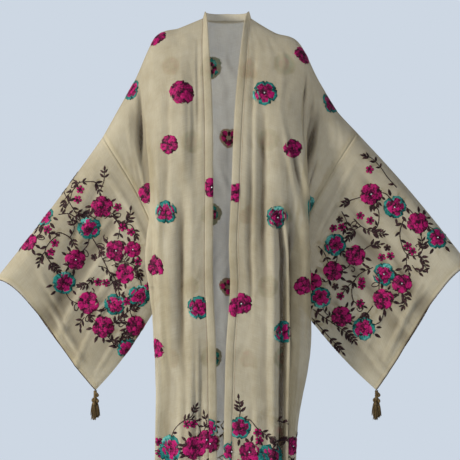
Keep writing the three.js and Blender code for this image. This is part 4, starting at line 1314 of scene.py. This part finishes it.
# x, z of the small flowers, then of the dark ones
sleeveSmall = {
    "right": [
        (-380, -442), (-390, -465), (-286, -484), (-270, -543), (-252, -548), (-447, -580), (-455, -603),
        (-333, -681), (-313, -683), (-468, -545), (-231, -625), (-203, -692), (-262, -731),
    ],
    "left": [
        (369, -390), (346, -512), (369, -523), (276, -543), (299, -538), (421, -614), (400, -619),
        (348, -692), (291, -718), (348, -681), (468, -588), (484, -598), (345, -735),
    ],
}
darkSmall = {"right": [(-325, -606), (-346, -619)], "left": [(296, -517), (419, -590), (283, -692)]}
# the places that each vine runs through, its sprig last
sleeveVines = {
    "right": [
        [(-424, -499), (-408, -468), (-403, -447), (-387, -426), (-361, -419), (-338, -426), (-330, -447)],
        [(-330, -440), (-322, -420), (-318, -392)],
        [(-387, -426), (-404, -414), (-410, -396)],
        [(-382, -421), (-398, -437), (-420, -462), (-428, -486)],
        [(-502, -546), (-481, -541), (-460, -556), (-434, -554), (-411, -564), (-396, -588)],
        [(-439, -556), (-463, -577), (-471, -603), (-460, -629), (-442, -650)],
        [(-471, -603), (-484, -616), (-488, -632)],
        [(-411, -564), (-400, -540), (-404, -520)],
        [(-320, -515), (-299, -504), (-283, -525), (-263, -533), (-244, -536), (-236, -560)],
        [(-263, -533), (-255, -512), (-254, -494)],
        [(-335, -640), (-315, -645), (-294, -666), (-283, -702)],
        [(-345, -668), (-362, -688), (-378, -690)],
        [(-299, -790), (-278, -775), (-257, -759), (-233, -744)],
        [(-300, -830), (-276, -832), (-262, -816)],
        [(-372, -772), (-384, -786), (-380, -800)],
        [(-296, -640), (-270, -630), (-244, -640), (-224, -664)],
        [(-396, -500), (-372, -505), (-352, -500)],
    ],
    "left": [
        [(440, -432), (419, -408), (398, -384), (377, -362), (360, -352)],
        [(346, -463), (325, -468), (304, -476)],
        [(330, -520), (346, -538), (372, -546), (390, -538), (398, -517), (393, -494), (380, -481)],
        [(346, -538), (330, -548), (318, -566)],
        [(372, -546), (392, -552), (404, -560)],
        [(460, -520), (450, -551), (452, -582), (471, -608), (497, -611), (507, -590), (504, -567)],
        [(471, -608), (465, -634), (474, -652)],
        [(497, -611), (512, -626), (518, -644)],
        [(355, -598), (374, -588), (395, -585)],
        [(377, -645), (356, -655), (335, -676), (325, -702), (333, -730), (352, -742)],
        [(335, -676), (318, -690), (306, -704)],
        [(226, -754), (257, -775), (289, -796), (309, -814), (330, -832)],
        [(221, -775), (258, -816), (300, -862)],
        [(378, -744), (366, -764), (352, -780)],
        [(455, -708), (466, -724), (462, -742)],
        [(236, -590), (252, -606), (262, -628)],
        [(296, -500), (308, -524), (304, -548)],
        [(480, -640), (496, -652), (510, -650)],
    ],
}
# x, z, heading, size, way round
curls = {
    "right": [
        (-346, -686, 0.4, 11, 1), (-350, -698, 2.4, 9, -1), (-322, -560, 3.4, 9, 1), (-448, -642, 2.9, 9, -1),
    ],
    "left": [
        (322, -640, 2.6, 9, 1), (337, -752, 1.1, 9, -1), (432, -700, 1.4, 9, 1), (496, -600, 5.2, 10, -1),
    ],
}
# The hem's border in the same terms.
hemBorder = {
    "front_right": {
        "roses": [(-146, -1118, "teal", 30), (-84, -1116, "rose", 30), (-52, -1094, "rose", 25),
                  (-172, -1206, "rose", 28), (-112, -1196, "rose", 28), (-58, -1190, "teal", 26),
                  (-150, -1282, "teal", 26), (-92, -1274, "rose", 28), (-44, -1272, "rose", 24)],
        "small": [(-104, -1050), (-86, -1055), (-180, -1100), (-176, -1124), (-130, -1160), (-34, -1150),
                  (-190, -1256)],
        "vines": [
            [(-146, -1087), (-133, -1061), (-109, -1045), (-86, -1043), (-73, -1058), (-68, -1076),
             (-60, -1092)],
            [(-109, -1045), (-91, -1027), (-83, -1009)],
            [(-60, -1066), (-52, -1046), (-58, -1024)],
            [(-190, -1160), (-160, -1164), (-132, -1150), (-112, -1164)],
            [(-84, -1150), (-70, -1162), (-44, -1156), (-34, -1176)],
            [(-180, -1240), (-150, -1240), (-128, -1230), (-112, -1236)],
            [(-90, -1232), (-66, -1236), (-44, -1228)],
            [(-124, -1250), (-120, -1280), (-128, -1306)],
            [(-66, -1250), (-62, -1284), (-70, -1312)],
        ],
    },
    "front_left": {
        "roses": [(58, -1120, "rose", 28), (34, -1056, "teal", 24), (118, -1140, "teal", 28),
                  (170, -1106, "rose", 25), (48, -1196, "teal", 27), (108, -1212, "rose", 28),
                  (168, -1192, "rose", 27),
                  (66, -1276, "rose", 27), (130, -1286, "teal", 26), (182, -1270, "rose", 24)],
        "small": [(78, -1068), (84, -1090), (160, -1060), (30, -1150), (84, -1160), (140, -1174),
                  (190, -1230)],
        "vines": [
            [(36, -1037), (60, -1040), (81, -1058), (107, -1079)],
            [(28, -1040), (34, -1014), (29, -988)],
            [(107, -1079), (124, -1090), (130, -1108)],
            [(130, -1040), (146, -1064), (150, -1090)],
            [(40, -1160), (66, -1164), (90, -1180)],
            [(128, -1172), (148, -1160), (176, -1150)],
            [(76, -1240), (100, -1246), (128, -1242), (152, -1250)],
            [(40, -1230), (32, -1256), (36, -1290)],
            [(96, -1262), (98, -1290), (92, -1316)],
        ],
    },
}


links = {"nearest": 48, "farthest": 125, "bow": (0.12, 0.3), "places": (0.24, 0.5, 0.78), "leafy": 0.38}


# Vines on a soft bow from each rose to its nearest neighbours.
def addLinks(work, cloth, roses, toward, generator):
    centres = np.array([rose[:2] for rose in roses], float)
    linked = set()
    for a in range(len(roses)):
        away = np.linalg.norm(centres - centres[a], axis=1)
        for b in np.argsort(away)[1:3]:
            pair = (min(a, b), max(a, b))
            if not links["nearest"] <= away[b] <= links["farthest"] or pair in linked:
                continue
            linked.add(pair)
            step = (centres[b] - centres[a]) / away[b]
            bow = np.array([-step[1], step[0]]) * generator.choice([-1, 1]) * generator.uniform(*links["bow"])
            spots = [centres[a] + (step * share + bow * np.sin(np.pi * share)) * away[b]
                     for share in links["places"]]
            places = [seenAt(cloth, *spot, toward) for spot in spots]
            addVine(work, cloth, places, generator, False, links["leafy"])


# All the motifs of one cloth, or of one face of a sleeve.
def filled(work, cloth, roses, small, vines, generator, toward=-1, dark=(), curlRows=(), plain=()):
    for line in vines:
        addVine(work, cloth, [seenAt(cloth, x, z, toward) for x, z in line], generator)
    for x, z, heading, size, way in curlRows:
        addCurl(work, seenAt(cloth, x, z, toward), heading, size, way)
    for x, z, kind, size in roses:
        addRose(work, seenAt(cloth, x, z, toward), kind, size, generator, leafy=True)
    for x, z, kind, size in plain:
        addRose(work, seenAt(cloth, x, z, toward), kind, size, generator)
    for x, z in small:
        addSmallFlower(work, seenAt(cloth, x, z, toward), flowers["small"], "magenta", generator)
    for x, z in dark:
        addSmallFlower(work, seenAt(cloth, x, z, toward), flowers["small"] * 0.85, "brown", generator)


works = {name: {"lenses": [], "lines": [], "beads": []} for name in cloths if name != "band_neck"}
for sideName in sides:
    generator = np.random.default_rng(40 + len(sideName))
    name = f"front_{sideName}"
    border = hemBorder[name]
    filled(works[name], cloths[name], border["roses"], border["small"], border["vines"], generator,
           plain=scattered[name])
    name = f"sleeve_{sideName}"
    for toward in (-1, 1):
        addLinks(works[name], cloths[name], sleeveRoses[sideName], toward, generator)
        filled(works[name], cloths[name], sleeveRoses[sideName], sleeveSmall[sideName], sleeveVines[sideName],
               generator, toward, darkSmall[sideName], curls[sideName])

# The back: scattered roses in half-drop rows, and the same border round the hem.
backRows = {
    "rows": 5, "first": -110, "every": 196, "drop": 52, "across": (-150, -46, 58, 152), "reach": 190,
    "size": 26, "borderSize": 27, "borderDrop": 14,
    "borderRows": (-1120, -1200, -1276), "borderAcross": range(-168, 190, 62),
    "smallRows": (-1062, -1166, -1244), "smallAcross": (-120, -40, 38, 116, 180),
    "topVine": [(0, -1072), (16, -1048), (40, -1040), (58, -1056), (64, -1080)],
    "topAcross": (-170, -92, -14, 64),
    "lowVine": [(0, 0), (20, 10), (42, -2), (62, 8)],
    "lowAcross": (-176, -100, -24, 52, 122), "lowRows": (-1160, -1240),
}


def backFilled(work, cloth, facts, generator):
    roses, border = [], []
    for row in range(facts["rows"]):
        for k, x in enumerate(facts["across"]):
            kind = ("rose", "teal")[(row + k) % 2]
            z = facts["first"] - facts["every"] * row
            roses.append((x + row % 2 * facts["drop"], z, kind, facts["size"]))
    roses = [rose for rose in roses if abs(rose[0]) < facts["reach"]]
    for row, z in enumerate(facts["borderRows"]):
        for k, x in enumerate(facts["borderAcross"]):
            kind = ("teal", "rose", "rose")[(k + row) % 3]
            border.append((x, z + k % 2 * facts["borderDrop"], kind, facts["borderSize"]))
    runs = [[(x + dx, z) for dx, z in facts["topVine"]] for x in facts["topAcross"]]
    runs += [[(x + dx, z + dz) for dx, dz in facts["lowVine"]]
             for z in facts["lowRows"] for x in facts["lowAcross"]]
    small = [(x, z) for z in facts["smallRows"] for x in facts["smallAcross"]]
    filled(work, cloth, border, small, runs, generator, 1, plain=roses)


generator = np.random.default_rng(77)
backFilled(works["back"], cloths["back"], backRows, generator)

# Roses on the bands: band, x, z, kind, size.
bandRoses = [
    ("band_right", -40, -434, "rose", 25), ("band_left", 22, -447, "rose", 26),
    ("band_left", 34, -748, "rose", 26), ("band_right", -42, -1100, "rose", 26),
    ("band_left", 30, -1120, "teal", 22), ("band_right", -46, -1060, "teal", 20),
]
for name, x, z, kind, size in bandRoses:
    addRose(works[name], seenAt(cloths[name], x, z), kind, size, generator)


def beadMesh(name, cloth, work):
    i, j = (np.array([at[k] for at in work["beads"]]) for k in "ij")
    spots = bilinear(cloth["points"], i, j) + bilinear(cloth["normals"], i, j) * flowers["beadLift"]
    return grown(name, trees["bead"], spots, [], {"radius": flowers["beadRadius"] / 1000, "finish": silver})


for name, work in works.items():
    makers = (("lenses", "roses", flossMesh), ("lines", "vines", vineMesh), ("beads", "beads", beadMesh))
    work["made"] = [make(f"{word}_{name}", cloths[name], work) for kind, word, make in makers if work[kind]]
    for obj in work["made"]:
        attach(obj, "root")
print("embroidery made")

# Running stitches beside the bands and along the hems, and the corded edge round the cuffs, in mm:
# pitch, length, width and height, then the turn; how far each line lies off the cloth
seams = {
    "bandRun": (4.2, 2.7, 0.9, 0.55, 0), "hemRun": (4.6, 2.8, 0.6, 0.45, 0),
    "cuffEdge": (2.2, 3.0, 2.4, 2.2, 0.5), "bandLift": 0.5, "hemLift": 0.4, "cuffReach": 1.1,
}


def seamOn(name, cloth, at, run, lift):
    normals = cloth["normals"][at]
    return stitched(name, [cloth["points"][at] + normals * lift], [normals], seams[run], "seamPink")


trims = [seamOn(f"seam_{sideName}", cloths[f"front_{sideName}"], np.s_[:, 1], "bandRun", seams["bandLift"])
         for sideName in sides]
hemRow = int(np.flatnonzero(levels <= hemStitchLevel)[-1])
for name in ("front_right", "front_left", "back"):
    trims.append(seamOn(f"hem_{name}", cloths[name], np.s_[hemRow, :], "hemRun", seams["hemLift"]))
for sideName in sides:
    cloth = cloths[f"sleeve_{sideName}"]
    span = slice(cloth["pad"], cloth["pad"] + cloth["columns"] + 1)
    end = cloth["points"][-1, span]
    outward = end - cloth["points"][-2, span]
    outward /= np.linalg.norm(outward, axis=1, keepdims=True)
    name = f"cuff_edge_{sideName}"
    edge = stitched(name + "_stitches", [end + outward * seams["cuffReach"]], [cloth["normals"][-1, span]],
                    seams["cuffEdge"], "edging")
    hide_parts(name)
    trims.append(edge)
for obj in trims:
    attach(obj, "root")
print("seams stitched")

tassels = {
    "plies": 3, "plyRadius": 2.2, "plyOut": 2.4, "plyTwist": 16, "plyPoints": 30, "overlap": 6,
    "knot": [(-1, -2, -3), (5, -3, -7), (7.5, -2, -12), (2, -2, -15)], "knotRadius": 2.6, "knotPoints": 14,
    # out, back and up from the cord's foot, and the threads' length
    "tufts": [(0, 0, 4, 38), (-6, 1, 0, 38), (6, -1, -2, 37), (-2.5, -5, -8, 40), (3, 5, -6, 38)],
    "threads": 64, "threadRadius": 0.42, "flare": 0.0066, "stemRadius": 1.5,
    "headRadius": 3.888, "headSides": 10, "headPoints": 7, "headFrom": 3, "headLength": 9, "threadsFrom": 4.5,
}


# A closed tube along the points: its points and faces.
def tube(points, radius, sidesAround=8, taper=None):
    points = np.asarray(points, float)
    tangent = np.gradient(points, axis=0)
    tangent /= np.linalg.norm(tangent, axis=1, keepdims=True)
    first = np.cross(tangent, [0.31, 0.95, 0.05])  # any direction that no tube follows
    first /= np.linalg.norm(first, axis=1, keepdims=True)
    second = np.cross(tangent, first)
    around = np.linspace(0, 2 * np.pi, sidesAround, endpoint=False)[None, :, None]
    size = radius * (np.ones(len(points)) if taper is None else taper)
    circles = np.cos(around) * first[:, None] + np.sin(around) * second[:, None]
    rings = points[:, None] + size[:, None, None] * circles
    at = np.arange(len(points) * sidesAround).reshape(-1, sidesAround)
    turned = np.roll(at, -1, axis=1)
    walls = np.stack([at[:-1], at[1:], turned[1:], turned[:-1]], 2).reshape(-1, 4)
    return rings.reshape(-1, 3), [*walls.tolist(), at[0].tolist(), at[-1, ::-1].tolist()]


# Several parts, each its points and faces, as one mesh.
def joined(name, parts, material):
    vertices, faces = [], []
    for part, partFaces in parts:
        faces += [[k + len(vertices) for k in face] for face in partFaces]
        vertices += part.tolist()
    return newMesh(name, np.array(vertices) / 1000, faces, [material])


def hangingDown(depths):
    return np.column_stack([0 * depths, 0 * depths, -depths])


# The twisted cord, and a loop knotted beside it.
def cordParts(top, length, facts):
    depth = np.linspace(0, length, facts["plyPoints"])
    parts = []
    for ply in range(facts["plies"]):
        turn = (depth / facts["plyTwist"] + ply / facts["plies"]) * 2 * np.pi
        path = np.column_stack([np.cos(turn), np.sin(turn), 0 * turn]) * facts["plyOut"]
        parts.append(tube(top + path + hangingDown(depth), facts["plyRadius"]))
    knot = np.array(facts["knot"], float)
    loop = weightsAt(np.arange(len(knot)), np.linspace(0, len(knot) - 1, facts["knotPoints"])) @ knot
    parts.append(tube(top + loop, facts["knotRadius"]))
    return parts


# A stem and a wound head for one tuft.
def tuftHead(root, start, facts):
    stem = np.array([root, start + [0, 0, 3], start - [0, 0, 6]])
    bow = weightsAt([0, 1, 2], np.linspace(0, 2, 9)) @ stem
    wrap = np.linspace(0, 1, facts["headPoints"])
    taper = 0.55 + 0.45 * np.sin(np.pi * wrap) ** 0.5
    head = start + hangingDown(facts["headLength"] * wrap - facts["headFrom"])
    return [tube(bow, facts["stemRadius"]), tube(head, facts["headRadius"], facts["headSides"], taper)]


for sideName in sides:
    low, high = (np.array(corner) * 1000 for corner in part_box(f"tassel_cord_{sideName}"))
    top = np.array([(low[0] + high[0]) / 2, (low[1] + high[1]) / 2, high[2]])
    cord = joined(f"cord_{sideName}", cordParts(top, high[2] - low[2] + tassels["overlap"], tassels),
                  lineFinish["olive"])
    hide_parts(f"tassel_cord_{sideName}")
    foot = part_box(f"tassel_{sideName}")[0][2] * 1000
    heads, tufts = [], []
    for k, (dx, dy, dz, length) in enumerate(tassels["tufts"]):
        start = np.array([top[0] + dx, top[1] + dy, low[2] - 3 + dz])
        heads += tuftHead([top[0], top[1], low[2] + 2], start, tassels)
        length = min(length, start[2] - 6 - foot - 1)
        values = {"count": tassels["threads"], "length": length / 1000, "flare": tassels["flare"],
                  "radius": tassels["threadRadius"] / 1000, "seed": 11 + 3 * k, "thread": lineFinish["olive"]}
        tuft = grown(f"tuft_{sideName}_{k}", trees["tuft"], np.zeros((1, 3)), [], values)
        tuft.data.transform(Matrix.Translation((start - [0, 0, tassels["threadsFrom"]]) / 1000))
        tufts.append(tuft)
    head = joined(f"tassel_head_{sideName}", heads, lineFinish["olive"])
    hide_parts(f"tassel_{sideName}")
    for obj in (cord, head, *tufts):
        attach(obj, "root")
print("tassels made")


# Camera, three soft lamps, a pale world and a plain floor.
def makeStage(facts):
    cameraData = bpy.data.cameras.new("camera")
    cameraData.lens, cameraData.sensor_width = facts["lens"], facts["sensor"]
    camera = placed("camera", cameraData)
    camera.location = facts["eye"]
    camera.rotation_euler = (math.pi / 2, 0, 0)
    bpy.context.scene.camera = camera
    for name in ("key", "fill", "back"):
        lamp = facts[name]
        data = bpy.data.lights.new(name, "AREA")
        data.shape = "DISK"
        data.size, data.energy, data.color = lamp["size"], lamp["power"], srgb(*lamp["colour"])
        light = placed(name, data)
        light.location = lamp["at"]
        aim = Vector(facts["aim"]) - Vector(lamp["at"])
        light.rotation_euler = aim.to_track_quat("-Z", "Y").to_euler()
    world = bpy.data.worlds.new("paleSky")
    world.use_nodes = True
    tree = world.node_tree
    tree.nodes.clear()
    # a brighter sky is seen than lights the cloth
    seen = addNode(tree, "ShaderNodeBackground", {"Color": (*srgb(*facts["background"]), 1)})
    lit = addNode(tree, "ShaderNodeBackground",
                  {"Color": (*srgb(*facts["skyLight"]), 1), "Strength": facts["skyStrength"]})
    direct = addNode(tree, "ShaderNodeLightPath", take="Is Camera Ray")
    sky = addNode(tree, "ShaderNodeMixShader", {0: direct, 1: lit, 2: seen})
    addNode(tree, "ShaderNodeOutputWorld", {"Surface": sky})
    bpy.context.scene.world = world
    bpy.context.scene.view_settings.view_transform = "Standard"
    material, tree = newMaterial("paleFloor")
    dark, light = facts["floorTones"]
    colour = ramp(tree, noise(tree, objectPlace(tree), 3), [(0.3, dark), (0.7, light)])
    surface = addNode(tree, "ShaderNodeBsdfPrincipled", {
        "Base Color": colour, "Roughness": 0.9, "Emission Color": colour, "Emission Strength": 0.3,
    })
    addNode(tree, "ShaderNodeOutputMaterial", {"Surface": surface})
    around = np.linspace(0, 2 * np.pi, facts["floorSides"], endpoint=False)
    ring = np.column_stack([np.cos(around), np.sin(around), 0 * around]) * facts["floorRadius"]
    ring[:, 2] = facts["floor"]
    floor = newMesh("floor", ring, [list(range(facts["floorSides"]))], [material], smooth=False)


makeStage(stage)
print("stage set")
